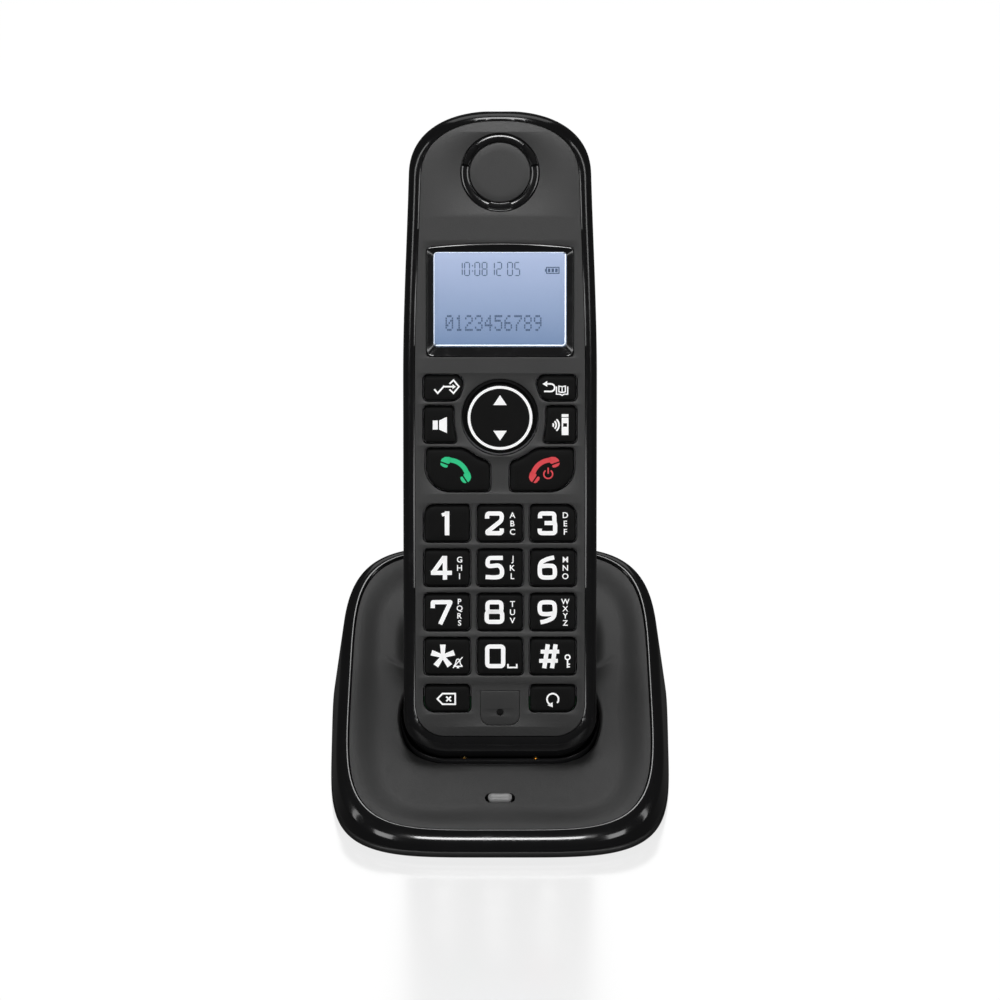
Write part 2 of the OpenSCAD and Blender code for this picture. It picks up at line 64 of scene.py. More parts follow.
def tilted_frame(up, origin):
    """Matrix from a frame in millimetres, X right and Y along up, to the shared frame."""
    out = Vector((1, 0, 0)).cross(up)
    turn = Matrix(((1, up.x, out.x), (0, up.y, out.y), (0, up.z, out.z))).to_4x4()
    return Matrix.Translation(origin) @ turn @ Matrix.Scale(MM, 4)


along = axes["handset_lift"]
outward = Vector((1, 0, 0)).cross(along)
foot = float((vertices("handset_back_shell") @ np.array(along)).min())
face = float((vertices("handset_front_plate") @ np.array(outward)).max())
HANDSET = tilted_frame(along, along * foot + outward * face)

rim_normal = -axes["page_key_press"]
rim_up = Vector((0, rim_normal.z, -rim_normal.y))
WORLD = Matrix.Scale(MM, 4)


def local_box(node, place=WORLD):
    """Lowest and highest corners of a CAD node in a frame, in millimetres."""
    inverse = np.array(place.inverted())
    points = vertices(node) @ inverse[:3, :3].T + inverse[:3, 3]
    return points.min(0), points.max(0)


# ---------------------------------------------------------------- meshes
def linked(name, data):
    obj = bpy.data.objects.new(name, data)
    bpy.context.scene.collection.objects.link(obj)
    return obj


def settled(obj):
    """The mesh that an object's curve or modifiers come to; the object itself goes."""
    bpy.context.view_layer.update()
    mesh = bpy.data.meshes.new_from_object(obj.evaluated_get(bpy.context.evaluated_depsgraph_get()))
    obj.modifiers.clear()
    bpy.data.objects.remove(obj)
    return mesh


def finish(name, mesh, place, body, material, replaces=(), smooth=40):
    """Puts a mesh made in millimetres into the shared frame as a piece that rides on a body."""
    mesh.transform(place)
    obj = linked(name, mesh)
    mesh.materials.clear()
    mesh.materials.append(material.material)
    if smooth:
        smooth_by_angle(mesh, smooth)
    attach(obj, body)
    if replaces:
        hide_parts(*replaces)
    return obj


def smooth_by_angle(mesh, degrees):
    work = bmesh.new()
    work.from_mesh(mesh)
    for edge in work.edges:
        edge.smooth = len(edge.link_faces) == 2 and edge.calc_face_angle(0) < math.radians(degrees)
    for part in work.faces:
        part.smooth = True
    work.to_mesh(mesh)
    work.free()


def weld(mesh, near):
    """Joins doubled corners and turns the faces outward."""
    work = bmesh.new()
    work.from_mesh(mesh)
    bmesh.ops.remove_doubles(work, verts=work.verts, dist=near)
    bmesh.ops.recalc_face_normals(work, faces=work.faces)
    work.to_mesh(mesh)
    work.free()
    return mesh


def mesh_from(name, points, faces, tidy=True):
    mesh = bpy.data.meshes.new(name)
    mesh.from_pydata([tuple(map(float, p)) for p in points], [], [tuple(map(int, f)) for f in faces])
    return weld(mesh, 1e-5) if tidy else mesh


def ring_faces(rings, count, closed_start=True, closed_end=True, loop=False):
    """Quads between rings of equal length, with an n-gon over each closed end."""
    faces = []
    for r in range(rings - (0 if loop else 1)):
        a = r * count
        b = (r + 1) % rings * count
        for i in range(count):
            j = (i + 1) % count
            faces.append((a + i, a + j, b + j, b + i))
    if closed_start and not loop:
        faces.append(tuple(range(count - 1, -1, -1)))
    if closed_end and not loop:
        faces.append(tuple(range((rings - 1) * count, rings * count)))
    return faces


def rings_mesh(name, rings, **how):
    count = len(rings[0])
    return mesh_from(name, np.concatenate(rings), ring_faces(len(rings), count, **how))


# ---------------------------------------------------------------- shapes given by distance fields (millimetres)
def round_meet(a, b, radius):
    """Intersection of two fields with an edge of that radius."""
    both = np.hypot(np.maximum(a + radius, 0), np.maximum(b + radius, 0))
    return np.minimum(-radius, np.maximum(a, b)) + both


def round_corner(dx, dy, radius):
    """Field of a rounded corner, from the distances past its centre."""
    return np.hypot(np.maximum(dx, 0), np.maximum(dy, 0)) + np.minimum(np.maximum(dx, dy), 0) - radius


def round_box_field(x, y, half_w, half_h, radius):
    return round_corner(np.abs(x) - half_w + radius, np.abs(y) - half_h + radius, radius)


def middle_half(low, high):
    """Middle and half sizes of the box between two corners."""
    return ((low[0] + high[0]) / 2, (low[1] + high[1]) / 2), ((high[0] - low[0]) / 2, (high[1] - low[1]) / 2)


def reach(field, start, direction, far):
    """Distance along each direction at which the field turns positive."""
    low = np.zeros(direction.shape[:-1])
    high = np.full(direction.shape[:-1], far)
    for _ in range(44):
        middle = (low + high) / 2
        inside = field(*np.moveaxis(start + middle[..., None] * direction, -1, 0)) < 0
        low = np.where(inside, middle, low)
        high = np.where(inside, high, middle)
    return low


def at_height(flat, z):
    """An outline as a ring of points at one height."""
    return np.column_stack([flat, np.full(len(flat), z)])


def outline_of(field, centre, count=144, far=60, level=0.0):
    """Outline of a 2D shape that every ray from its centre leaves once, drawn in by level."""
    angles = np.arange(count) / count * TURN
    direction = np.stack([np.cos(angles), np.sin(angles)], -1)
    start = np.array(centre, float)
    distance = reach(lambda x, y: field(x, y) + level, start, direction, far)
    return start + distance[:, None] * direction


def cushion(name, field, centre, layers, crown=0.0, count=144):
    """Solid whose outline is drawn in by each layer's inset at its height; crown lifts the middle of the top."""
    rings = []
    for inset, height in layers:
        flat = outline_of(field, centre, count, level=inset)
        rings.append(at_height(flat, height))
    last = rings[-1]
    for share in (0.75, 0.5, 0.25):
        ring = last.copy()
        ring[:, :2] = np.array(centre) + (last[:, :2] - centre) * share
        ring[:, 2] += crown * (1 - share * share)
        rings.append(ring)
    return rings_mesh(name, rings)


# ---------------------------------------------------------------- shader maths
class Wire:
    """A socket, or a number, that Python's operators turn into Math nodes."""

    def __init__(self, kit, socket):
        self.kit = kit
        self.socket = socket

    def _math(self, operation, *values):
        return self.kit.node("ShaderNodeMath", {"operation": operation}, *values)

    def __add__(self, other):
        return self._math("ADD", self, other)

    def __sub__(self, other):
        return self._math("SUBTRACT", self, other)

    def __rsub__(self, other):
        return self._math("SUBTRACT", other, self)

    def __mul__(self, other):
        return self._math("MULTIPLY", self, other)

    def __truediv__(self, other):
        return self._math("DIVIDE", self, other)

    __radd__ = __add__
    __rmul__ = __mul__

    def above(self, level, soft):
        """0 below level, 1 past level + soft, smooth between."""
        return self.kit.node("ShaderNodeMapRange", {"interpolation_type": "SMOOTHSTEP"},
                             Value=self, **{"From Min": level, "From Max": level + soft})


class Finish:
    """A material, its node tree and the record's slot that it stands for."""

    def __init__(self, name, slot):
        self.material = bpy.data.materials.new(name)
        self.material.use_nodes = True
        self.slot = slot
        self.tree = self.material.node_tree
        self.shader = self.tree.nodes["Principled BSDF"]
        self.object = self.node("ShaderNodeTexCoord", {}, output="Object")

    def node(self, kind, settings, *values, output=0, **named):
        """Adds a node: its settings first, then the values or links of its sockets, by place or by name."""
        made = self.tree.nodes.new(kind)
        for key, value in settings.items():
            setattr(made, key, value)
        for key, value in list(enumerate(values)) + list(named.items()):
            self.feed(made.inputs[key], value)
        return Wire(self, made.outputs[output])

    def feed(self, socket, value):
        if isinstance(value, Wire):
            self.tree.links.new(value.socket, socket)
        else:
            socket.default_value = value

    def set(self, **sockets):
        for key, value in sockets.items():
            self.feed(self.shader.inputs[key.replace("_", " ")], value)

    def noise(self, scale, detail):
        return self.node("ShaderNodeTexNoise", {}, Vector=self.object, Scale=scale, Detail=detail, output="Fac")

    def grains(self, scale):
        return self.node("ShaderNodeTexVoronoi", {"feature": "SMOOTH_F1"}, Vector=self.object, Scale=scale,
                         output="Distance")

    def mix(self, factor, low, high):
        made = self.tree.nodes.new("ShaderNodeMix")
        made.data_type = "RGBA"
        self.feed(made.inputs[0], factor)
        self.feed(made.inputs[6], low)
        self.feed(made.inputs[7], high)
        return Wire(self, made.outputs[2])

    def bump(self, height, depth, strength=1.0):
        """Normal from a height of 0 to 1 that stands depth metres tall."""
        return self.node("ShaderNodeBump", {}, output="Normal", Strength=strength, Distance=depth, Height=height)


def grey(value, blue=1.0):
    return (value, value, value * blue, 1)


def gloss_black():
    made = Finish("polished black plastic", "gloss_black")
    flow = made.noise(90, 2)
    haze = made.noise(420, 4).above(0.55, 0.25)
    made.set(Base_Color=made.mix(flow, grey(0.0055, 1.05), grey(0.0085, 1.05)),
             Roughness=0.13 + flow * 0.05 + haze * 0.09,
             Normal=made.bump(flow, 0.00006, 0.25), Specular_IOR_Level=0.5, Coat_Weight=0.35,
             Coat_Roughness=0.05)
    return made


def grained_black(name="spark-grained black plastic", slot="textured_black", tone=0.018, depth=0.000035):
    made = Finish(name, slot)
    grain = made.grains(5200)
    cloud = made.noise(60, 3)
    fleck = made.noise(2600, 3)
    made.set(Base_Color=made.mix(cloud * 0.5 + fleck * 0.5, grey(tone * 0.82), grey(tone * 1.2)),
             Roughness=0.30 + fleck * 0.16 + cloud * 0.06,
             Normal=made.bump(grain * 0.7 + fleck * 0.5, depth, 0.55), Specular_IOR_Level=0.5)
    return made


def key_rubber():
    made = Finish("satin black silicone", "key_rubber")
    skin = made.noise(1500, 3)
    wear = made.noise(160, 2)
    made.set(Base_Color=made.mix(wear, grey(0.0025), grey(0.0045)), Roughness=0.42 + wear * 0.14,
             Normal=made.bump(skin, 0.00003, 0.3), Specular_IOR_Level=0.08)
    return made


def printed(name, colour, glow=0.0, slot="key_rubber"):
    made = Finish(name, slot)
    worn = made.noise(900, 3)
    dim = tuple(c * 0.86 for c in colour[:3]) + (1,)
    made.set(Base_Color=made.mix(worn, dim, colour), Roughness=0.42 + worn * 0.1,
             Emission_Color=colour, Emission_Strength=glow, Normal=made.bump(worn, 0.00001, 0.2))
    return made


def plain(name, slot, colour, rough, metal=0.0, scale=700, depth=0.00002, spread=0.12):
    """A moulded or rolled surface with small changes of tone and roughness."""
    made = Finish(name, slot)
    patch = made.noise(scale * 0.15, 2)
    fine = made.noise(scale, 3)
    dim = tuple(c * (1 - spread) for c in colour[:3]) + (1,)
    made.set(Base_Color=made.mix(patch, dim, tuple(colour[:3]) + (1,)), Metallic=metal,
             Roughness=rough + fine * spread - spread / 2, Normal=made.bump(fine, depth, 0.4))
    return made


# ---------------------------------------------------------------- the handset's form (millimetres, handset frame)
shell_low, shell_high = local_box("handset_back_shell", HANDSET)
LENGTH = shell_high[1]
HALF_WIDTH = shell_high[0]
THICK = -shell_low[2]
HEAD_HALF_WIDTH = HALF_WIDTH - 1.75
CROWN = 16.0
CROWN_POWER = 2.35
CROWN_BACK = 22.5
TAPER_START = 97.0
FOOT_CORNER = 11.0
HEEL_SLOPE = 0.2425
WALL = 1.8
PLATE_BORDER = 3.0
PLATE_FOOT = 6.6
PLATE_HEAD = LENGTH - float(local_box("handset_front_plate", HANDSET)[1][1])
PLATE_CORNER = 7.5
PLATE_FACE = local_box("handset_front_plate", HANDSET)[1][2]
PLATE_THICK = 1.6


def ease(value, start, end):
    share = np.clip((value - start) / (end - start), 0, 1)
    return share * share * (3 - 2 * share)


def half_width(y):
    return HALF_WIDTH - (HALF_WIDTH - HEAD_HALF_WIDTH) * ease(y, TAPER_START, LENGTH)


def handset_outline(x, y, side=0.0, low=0.0, head=0.0, corner=FOOT_CORNER):
    """Field of the front outline, drawn in by side left and right, low at the foot and head at the crown."""
    width = half_width(y) - side
    crown_start = LENGTH - CROWN
    rise = np.maximum(y - crown_start, 0) / (CROWN - head)
    crown = (((np.abs(x) / width) ** CROWN_POWER + rise ** CROWN_POWER) ** (1 / CROWN_POWER) - 1) * width
    foot_corner = round_corner(np.abs(x) - width + corner, low + corner - y, corner)
    return np.where(y > crown_start, crown, np.where(y < low + corner, foot_corner, np.abs(x) - width))


def back_depth(y):
    """Thickness of the handset: thinner towards the heel, with a soft bend."""
    slope = 17.27 + HEEL_SLOPE * y
    bend = 3.0
    mix = np.clip(0.5 + 0.5 * (THICK - slope) / bend, 0, 1)
    return THICK * (1 - mix) + slope * mix - bend * mix * (1 - mix)


def handset_field(x, y, z):
    edge = 4.3 + 2.2 * (1 - ease(y, 1, 14)) - 0.1 * ease(y, LENGTH - 25, LENGTH)
    back_edge = 10.5 + 12.1 * ease(y, LENGTH - 50, LENGTH - 8) - 2.5 * (1 - ease(y, 4, 40))
    front = round_meet(handset_outline(x, y), z, edge)
    nape = round_corner(y - LENGTH + CROWN_BACK + 0.05, -z - THICK + CROWN_BACK + 0.05, CROWN_BACK)
    return np.maximum(round_meet(front, -z - back_depth(y), back_edge), nape)


def handset_skin(name, inset, around, lengthwise, cap):
    """Closed skin a little inside the handset's form, cast outwards from a spine."""
    def field(x, y, z):
        return handset_field(x, y, z) + inset

    spin = np.arange(around) / around * TURN
    radial = np.stack([np.cos(spin), np.zeros(around), np.sin(spin)], -1)
    low, high = np.array([0, 15.0, -10.5]), np.array([0, LENGTH - 17.0, -12.5])
    rings = []
    for i in range(cap):
        tip = math.pi / 2 * i / cap
        rings.append((low, math.sin(tip) * radial - np.array([0, math.cos(tip), 0])))
    for i in range(lengthwise + 1):
        rings.append((low + (high - low) * i / lengthwise, radial))
    for i in range(cap - 1, -1, -1):
        tip = math.pi / 2 * i / cap
        rings.append((high, math.sin(tip) * radial + np.array([0, math.cos(tip), 0])))
    solid = []
    for start, direction in rings:
        solid.append(start + reach(field, start, direction, 60)[:, None] * direction)
    return rings_mesh(name, solid, closed_start=False, closed_end=False)


def box_outline(low, high, radius, count=96):
    centre, half = middle_half(low, high)
    return outline_of(lambda x, y: round_box_field(x - centre[0], y - centre[1], half[0], half[1], radius),
                      centre, count, far=120)


def prism(name, outline, z0, z1):
    return rings_mesh(name, [at_height(outline, z) for z in (z0, z1)])


def box_prism(name, low, high, radius, z0, z1):
    return prism(name, box_outline(low, high, radius), z0, z1)


def boolean(mesh, cutters, operation="DIFFERENCE"):
    """The mesh with every cutter taken away, or kept only inside it."""
    target = linked("target", mesh)
    tools = [linked("cutter", cutter) for cutter in cutters]
    for tool in tools:
        step = target.modifiers.new("cut", "BOOLEAN")
        step.operation = operation
        step.solver = "EXACT"
        step.object = tool
    result = settled(target)
    for tool in tools:
        bpy.data.objects.remove(tool)
    return result


def true_normals(mesh, field, near=0.004):
    """Gives the corners that lie on a field's surface that surface's own normals, so gloss runs unbroken."""
    points = corners_in(mesh)
    step = 0.01
    slopes = []
    for axis in range(3):
        ahead, behind = points.copy(), points.copy()
        ahead[:, axis] += step
        behind[:, axis] -= step
        slopes.append((field(*ahead.T) - field(*behind.T)) / (2 * step))
    normals = np.stack(slopes, -1)
    normals /= np.maximum(np.linalg.norm(normals, axis=1, keepdims=True), 1e-9)
    on_skin = np.abs(field(*points.T)) < near
    given = []
    for face_part in mesh.polygons:
        skin = all(on_skin[v] for v in face_part.vertices)
        upright = Vector(normals[face_part.vertices[0]]).dot(face_part.normal) > 0.8
        for v in face_part.vertices:
            given.append(tuple(normals[v]) if skin and upright else (0, 0, 0))
    mesh.normals_split_custom_set(given)


def grown_outline(field, centre, growth, count=144, far=120):
    return outline_of(field, centre, count, far=far, level=-growth)


def plate_field(x, y):
    return handset_outline(x, y, PLATE_BORDER, PLATE_FOOT, PLATE_HEAD, PLATE_CORNER)


PLATE_CENTRE = (0.0, 80.0)


def link_nodes(tree, kind, inputs=None, **settings):
    """A node with its settings made, its inputs set by name and its links drawn."""
    node = tree.nodes.new(kind)
    for key, value in settings.items():
        setattr(node, key, value)
    for key, value in (inputs or {}).items():
        if isinstance(value, bpy.types.NodeSocket):
            tree.links.new(value, node.inputs[key])
        else:
            node.inputs[key].default_value = value
    return node


GRILLE_Y = LENGTH - 37.5
GRILLE_RINGS = ((6, 4.0), (12, 7.6))
GRILLE_HOLE = 0.8


def grille_holes(material, centre, radius, depth):
    """One pin in the middle and two rings of pins round it, made with Geometry Nodes, in millimetres."""
    tree = bpy.data.node_groups.new("loudspeaker grille", "GeometryNodeTree")
    for name, kind in (("Material", "NodeSocketMaterial"), ("Hole radius", "NodeSocketFloat"),
                       ("Hole depth", "NodeSocketFloat"), ("Geometry", "NodeSocketGeometry")):
        tree.interface.new_socket(name, in_out="INPUT", socket_type=kind)
    tree.interface.new_socket("Geometry", in_out="OUTPUT", socket_type="NodeSocketGeometry")
    given = tree.nodes.new("NodeGroupInput").outputs
    pin = link_nodes(tree, "GeometryNodeMeshCylinder", {"Vertices": 28, "Radius": given["Hole radius"],
                                                       "Depth": given["Hole depth"]}).outputs["Mesh"]
    middle = link_nodes(tree, "GeometryNodeMeshLine", {"Count": 1}).outputs["Mesh"]
    rings = [link_nodes(tree, "GeometryNodeMeshCircle", {"Vertices": n, "Radius": r}).outputs["Mesh"]
             for n, r in GRILLE_RINGS]
    join = tree.nodes.new("GeometryNodeJoinGeometry")
    for points in (middle, *rings):
        placed = link_nodes(tree, "GeometryNodeInstanceOnPoints", {"Points": points, "Instance": pin})
        tree.links.new(placed.outputs["Instances"], join.inputs["Geometry"])
    solid = link_nodes(tree, "GeometryNodeRealizeInstances", {"Geometry": join.outputs["Geometry"]})
    dressed = link_nodes(tree, "GeometryNodeSetMaterial", {"Geometry": solid.outputs["Geometry"],
                                                          "Material": given["Material"]})
    link_nodes(tree, "NodeGroupOutput", {"Geometry": dressed.outputs["Geometry"]})
    holder = linked("grille", bpy.data.meshes.new("grille"))
    step = holder.modifiers.new("grille", "NODES")
    step.node_group = tree
    wanted = {"Material": material, "Hole radius": radius, "Hole depth": depth}
    for socket in tree.interface.items_tree:
        if socket.in_out == "INPUT" and socket.name in wanted:
            step[socket.identifier] = wanted[socket.name]
    mesh = settled(holder)
    mesh.transform(Matrix.Translation(centre))
    return mesh


def make_back_shell(material):
    skin = handset_skin("shell skin", 0.0, 176, 112, 34)
    hollow = handset_skin("shell hollow", WALL, 72, 40, 12)
    keep_front = box_prism("front wall", (-60, -40), (60, LENGTH + 40), 1, -60, -3.2)
    hollow = boolean(hollow, [keep_front], "INTERSECT")
    recess = prism("plate recess", grown_outline(plate_field, PLATE_CENTRE, 0.14, 320), -1.75, 6)
    window = prism("ledge", grown_outline(plate_field, PLATE_CENTRE, -0.8, 200), -8, 6)
    low, high = local_box("battery_door", HANDSET)
    door = box_prism("door opening", low[:2] - 0.16, high[:2] + 0.16, 1.2, -THICK - 4, -THICK + WALL + 1.5)
    holes = grille_holes(material.material, (0, GRILLE_Y, -THICK), GRILLE_HOLE, 12)
    mesh = boolean(skin, [hollow, recess, window, door, holes])
    smooth_by_angle(mesh, 35)
    true_normals(mesh, handset_field)
    return finish("handset_shell", mesh, HANDSET, "handset", material, ["handset_back_shell"], smooth=0)


# ---------------------------------------------------------------- keys (millimetres, handset frame)
KEY_GAP = 0.35
FLANGE = 0.5
rocker_low, rocker_high = local_box("key_rocker", HANDSET)
ROCKER = middle_half(rocker_low, rocker_high)[0]
ROCKER_RADIUS = 8.6
ROCKER_HOLE = ROCKER_RADIUS + 1.1
KEY_TOP = rocker_high[2]
SIDE_CUT = 11.5
TALK_CUT = 11.6
CORNER = 1.05
BIG_CORNER = 2.6
TALK_CORNER = 6.2

ROUND_CORNERS = {"key_1": (-1, 1, BIG_CORNER), "key_3": (1, 1, BIG_CORNER), "key_flash": (-1, -1, BIG_CORNER),
                 "key_redial": (1, -1, BIG_CORNER), "key_talk": (-1, -1, TALK_CORNER),
                 "key_end": (1, -1, TALK_CORNER), "key_ok": (1, 1, 2.2), "key_back": (-1, 1, 2.2)}
# Middle and half sizes of the keys that the rocker's clearance cuts into.
CUT_KEYS = {"key_ok": (-14.1, 95.35, 4.9, 3.15), "key_back": (14.1, 95.35, 4.9, 3.15),
            "key_speaker": (-14.9, 86.1, 4.1, 4.6), "key_intercom": (14.9, 86.1, 4.1, 4.6),
            "key_talk": (-10.5, 74.6, 8.0, 5.4), "key_end": (10.5, 74.6, 8.0, 5.4)}
CUTS = {"key_ok": SIDE_CUT, "key_back": SIDE_CUT, "key_speaker": SIDE_CUT, "key_intercom": SIDE_CUT,
        "key_talk": TALK_CUT, "key_end": TALK_CUT}
KEYS = [name for name in nodes if name.startswith("key_") and name not in ("key_rocker", "key_dome_sheet")]


class Key:
    """A push key: its outline field, its middle and its half sizes, taken from the CAD node."""

    def __init__(self, name):
        self.name = name
        low, high = local_box(name, HANDSET)
        if name in CUT_KEYS:
            self.x, self.y, self.half_w, self.half_h = CUT_KEYS[name]
        else:
            (self.x, self.y), (half_w, half_h) = middle_half(low, high)
            self.half_w, self.half_h = half_w - FLANGE, half_h - FLANGE

    def field(self, x, y):
        px, py = x - self.x, y - self.y
        radius = np.full(np.shape(px), CORNER)
        if self.name in ROUND_CORNERS:
            sx, sy, big = ROUND_CORNERS[self.name]
            radius = np.where((px * sx > 0) & (py * sy > 0), big, radius)
        shape = round_box_field(px, py, self.half_w, self.half_h, radius)
        if self.name in CUTS:
            shape = round_meet(shape, CUTS[self.name] - np.hypot(x - ROCKER[0], y - ROCKER[1]), 1.3)
        return shape

    @property
    def inner(self):
        """A point from which every part of the outline can be seen."""
        if self.name in ("key_talk", "key_end"):
            return (self.x * 1.12, self.y - 1.2)
        return (self.x, self.y)


KEY_LAYERS = [(0.0, -1.6), (0.0, 0.25), (0.03, 0.45), (0.10, 0.62), (0.22, 0.76), (0.40, 0.85), (0.62, 0.888)]


def make_key(key, material):
    layers = [(inset, height * KEY_TOP / 0.9 if height > 0 else height) for inset, height in KEY_LAYERS]
    mesh = cushion(key.name + "_cap", key.field, key.inner, layers, crown=0.012)
    return finish(key.name + "_cap", mesh, HANDSET, key.name, material, [key.name], smooth=50)


def make_rocker(material):
    def disc(x, y):
        return np.hypot(x - ROCKER[0], y - ROCKER[1]) - ROCKER_RADIUS

    layers = [(-0.9, -2.9), (-0.9, -2.45), (0.0, -2.4), (0.0, 0.3), (0.05, 0.55), (0.18, 0.74), (0.4, 0.85),
              (0.7, KEY_TOP)]
    mesh = cushion("rocker", disc, ROCKER, layers, crown=-0.03, count=192)
    return finish("key_rocker_cap", mesh, HANDSET, "key_rocker", material, ["key_rocker"], smooth=50)


# ---------------------------------------------------------------- flat plates with holes
def plate_mesh(name, outlines, thick, bevel, top):
    """Flat plate filled between an outer outline and its holes, with rounded edges; its front face is at top."""
    curve = bpy.data.curves.new(name, "CURVE")
    curve.dimensions = "2D"
    curve.fill_mode = "BOTH"
    curve.bevel_depth = bevel
    curve.bevel_resolution = 3
    curve.offset = -bevel
    curve.extrude = thick / 2 - bevel
    for outline in outlines:
        spline = curve.splines.new("POLY")
        spline.points.add(len(outline) - 1)
        for point, place in zip(spline.points, outline):
            point.co = (place[0], place[1], 0, 1)
        spline.use_cyclic_u = True
    mesh = settled(linked(name, curve))
    mesh.transform(Matrix.Translation((0, 0, top - thick / 2)))
    return weld(mesh, 1e-4)


def circle(x, y, radius, count=96):
    spin = np.arange(count) / count * TURN
    return np.column_stack([x + radius * np.cos(spin), y + radius * np.sin(spin)])


frame_low, frame_high = local_box("display_frame", HANDSET)
FRAME_HALF = 18.4
FRAME_LOW, FRAME_TOP = frame_low[1] + 0.5, frame_high[1] - 0.5
FRAME_ARCH = 1.1
panel_low, panel_high = local_box("display_lens", HANDSET)
ear_low, ear_high = local_box("earpiece_ring", HANDSET)
EAR_Y = middle_half(ear_low, ear_high)[0][1]
EAR_RADIUS = ear_high[0]
DISC_RADIUS = local_box("earpiece_disc", HANDSET)[1][0]
MIC_Y = middle_half(*local_box("microphone", HANDSET))[0][1]
MIC_HOLE = 0.88


def frame_field(x, y):
    """The display frame's outline: straight at the foot, gently arched at the head."""
    arch = FRAME_ARCH * (1 - (x / FRAME_HALF) ** 2)
    head = y - (FRAME_TOP - FRAME_ARCH + arch)
    return round_meet(round_meet(np.abs(x) - FRAME_HALF, head, 0.9), FRAME_LOW - y, 0.9)


FRAME_CENTRE = (0.0, (FRAME_LOW + FRAME_TOP) / 2)


TAB_HALF, TAB_FOOT, TAB_HEAD, TAB_SINK = 4.95, 9.4, 18.2, 0.22
TAB_GAP = 0.07
TAB_CENTRE = (0.0, (TAB_FOOT + TAB_HEAD) / 2)


def tab_field(x, y, head=TAB_HEAD):
    foot = round_meet(np.abs(x) - TAB_HALF, TAB_FOOT - y, 2.6)
    return np.maximum(foot, y - head)


def make_tab(material):
    """Thumbnail-shaped recess round the microphone's hole, flush with the plate at its head."""
    edge = outline_of(lambda x, y: tab_field(x, y, TAB_HEAD + TAB_GAP), TAB_CENTRE, 160, level=TAB_GAP)
    outlines = [edge, circle(0, MIC_Y, MIC_HOLE, 40)]
    mesh = plate_mesh("microphone tab", outlines, PLATE_THICK - TAB_SINK, 0.05, PLATE_FACE - TAB_SINK)
    for corner in mesh.vertices:
        corner.co.z += TAB_SINK * float(ease(corner.co.y, TAB_FOOT + 1.2, TAB_HEAD))
    return finish("microphone_tab", mesh, HANDSET, "handset", material, smooth=30)


def make_front_plate(material, keys):
    outlines = [grown_outline(plate_field, PLATE_CENTRE, 0.0, 360)]
    outlines += [outline_of(key.field, key.inner, 112, level=-KEY_GAP) for key in keys]
    outlines.append(circle(*ROCKER, ROCKER_HOLE, 128))
    outlines.append(outline_of(frame_field, FRAME_CENTRE, 200, level=-0.06))
    outlines.append(circle(0, EAR_Y, EAR_RADIUS + 0.06, 128))
    outlines.append(outline_of(tab_field, TAB_CENTRE, 160))
    mesh = plate_mesh("front plate", outlines, PLATE_THICK, 0.16, PLATE_FACE)
    return finish("front_plate", mesh, HANDSET, "handset", material, ["handset_front_plate"], smooth=30)


def make_display_frame(material):
    """Gloss frame whose four sides slope in to the window, mitred at the corners."""
    def window(x, y):
        mid_y = (panel_low[1] + panel_high[1]) / 2
        return round_box_field(x, y - mid_y, panel_high[0], (panel_high[1] - panel_low[1]) / 2, 0.9)

    def ring(share, height, grow=0.0):
        outer = outline_of(frame_field, FRAME_CENTRE, 240, level=grow)
        inner = outline_of(window, FRAME_CENTRE, 240, level=-0.05)
        flat = outer * (1 - share) + inner * share
        return at_height(flat, height)

    rings = [ring(0, -1.9), ring(0, -0.12), ring(0, -0.02, 0.1), ring(0.12, 0.0), ring(0.2, -0.06),
             ring(0.9, -0.72), ring(1.0, -0.8), ring(1.0, -1.9)]
    mesh = rings_mesh("display frame", rings, loop=True)
    return finish("display_bezel", mesh, HANDSET, "handset", material, ["display_frame"], smooth=24)


def make_ear_ring(material):
    """Round gloss ring with three sound slots sunk in it."""
    mean = (EAR_RADIUS + DISC_RADIUS) / 2
    half = (EAR_RADIUS - DISC_RADIUS) / 2
    count = 288
    spin = np.arange(count) / count * TURN
    off = np.min([np.abs((np.degrees(spin) - centre + 180) % 360 - 180) for centre in (30, 150, 270)], axis=0)
    sunk = 1 - ease(off, 17.5, 20.0)
    rings = []
    sides = 28
    for i in range(sides):
        turn = math.pi * i / (sides - 1)
        radius = mean + half * 0.97 * math.cos(turn)
        hump = 0.12 + 0.42 * math.sin(turn) ** 0.8 - 0.42
        slot = ease(math.sin(turn), 0.42, 0.72) * sunk
        height = hump - slot * 1.2 - slot * 0.25 * math.sin(turn)
        rings.append(np.column_stack([radius * np.cos(spin), EAR_Y + radius * np.sin(spin), height]))
    for radius, height in ((DISC_RADIUS + 0.06, -PLATE_THICK), (EAR_RADIUS - 0.02, -PLATE_THICK)):
        rings.append(np.column_stack([radius * np.cos(spin), EAR_Y + radius * np.sin(spin),
                                      np.full(count, height)]))
    mesh = rings_mesh("ear ring", rings, loop=True)
    return finish("earpiece_ring_cover", mesh, HANDSET, "handset", material, ["earpiece_ring"], smooth=38)


def make_ear_disc(material):
    def disc(x, y):
        return np.hypot(x, y - EAR_Y) - (DISC_RADIUS - 0.12)

    layers = [(0, -PLATE_THICK), (0, -0.25), (0.05, -0.12), (0.16, -0.03), (0.35, 0.0)]
    mesh = cushion("ear disc", disc, (0, EAR_Y), layers, crown=0.0, count=160)
    return finish("earpiece_centre", mesh, HANDSET, "handset", material, ["earpiece_disc"], smooth=40)


DOOR_SINK = 0.02


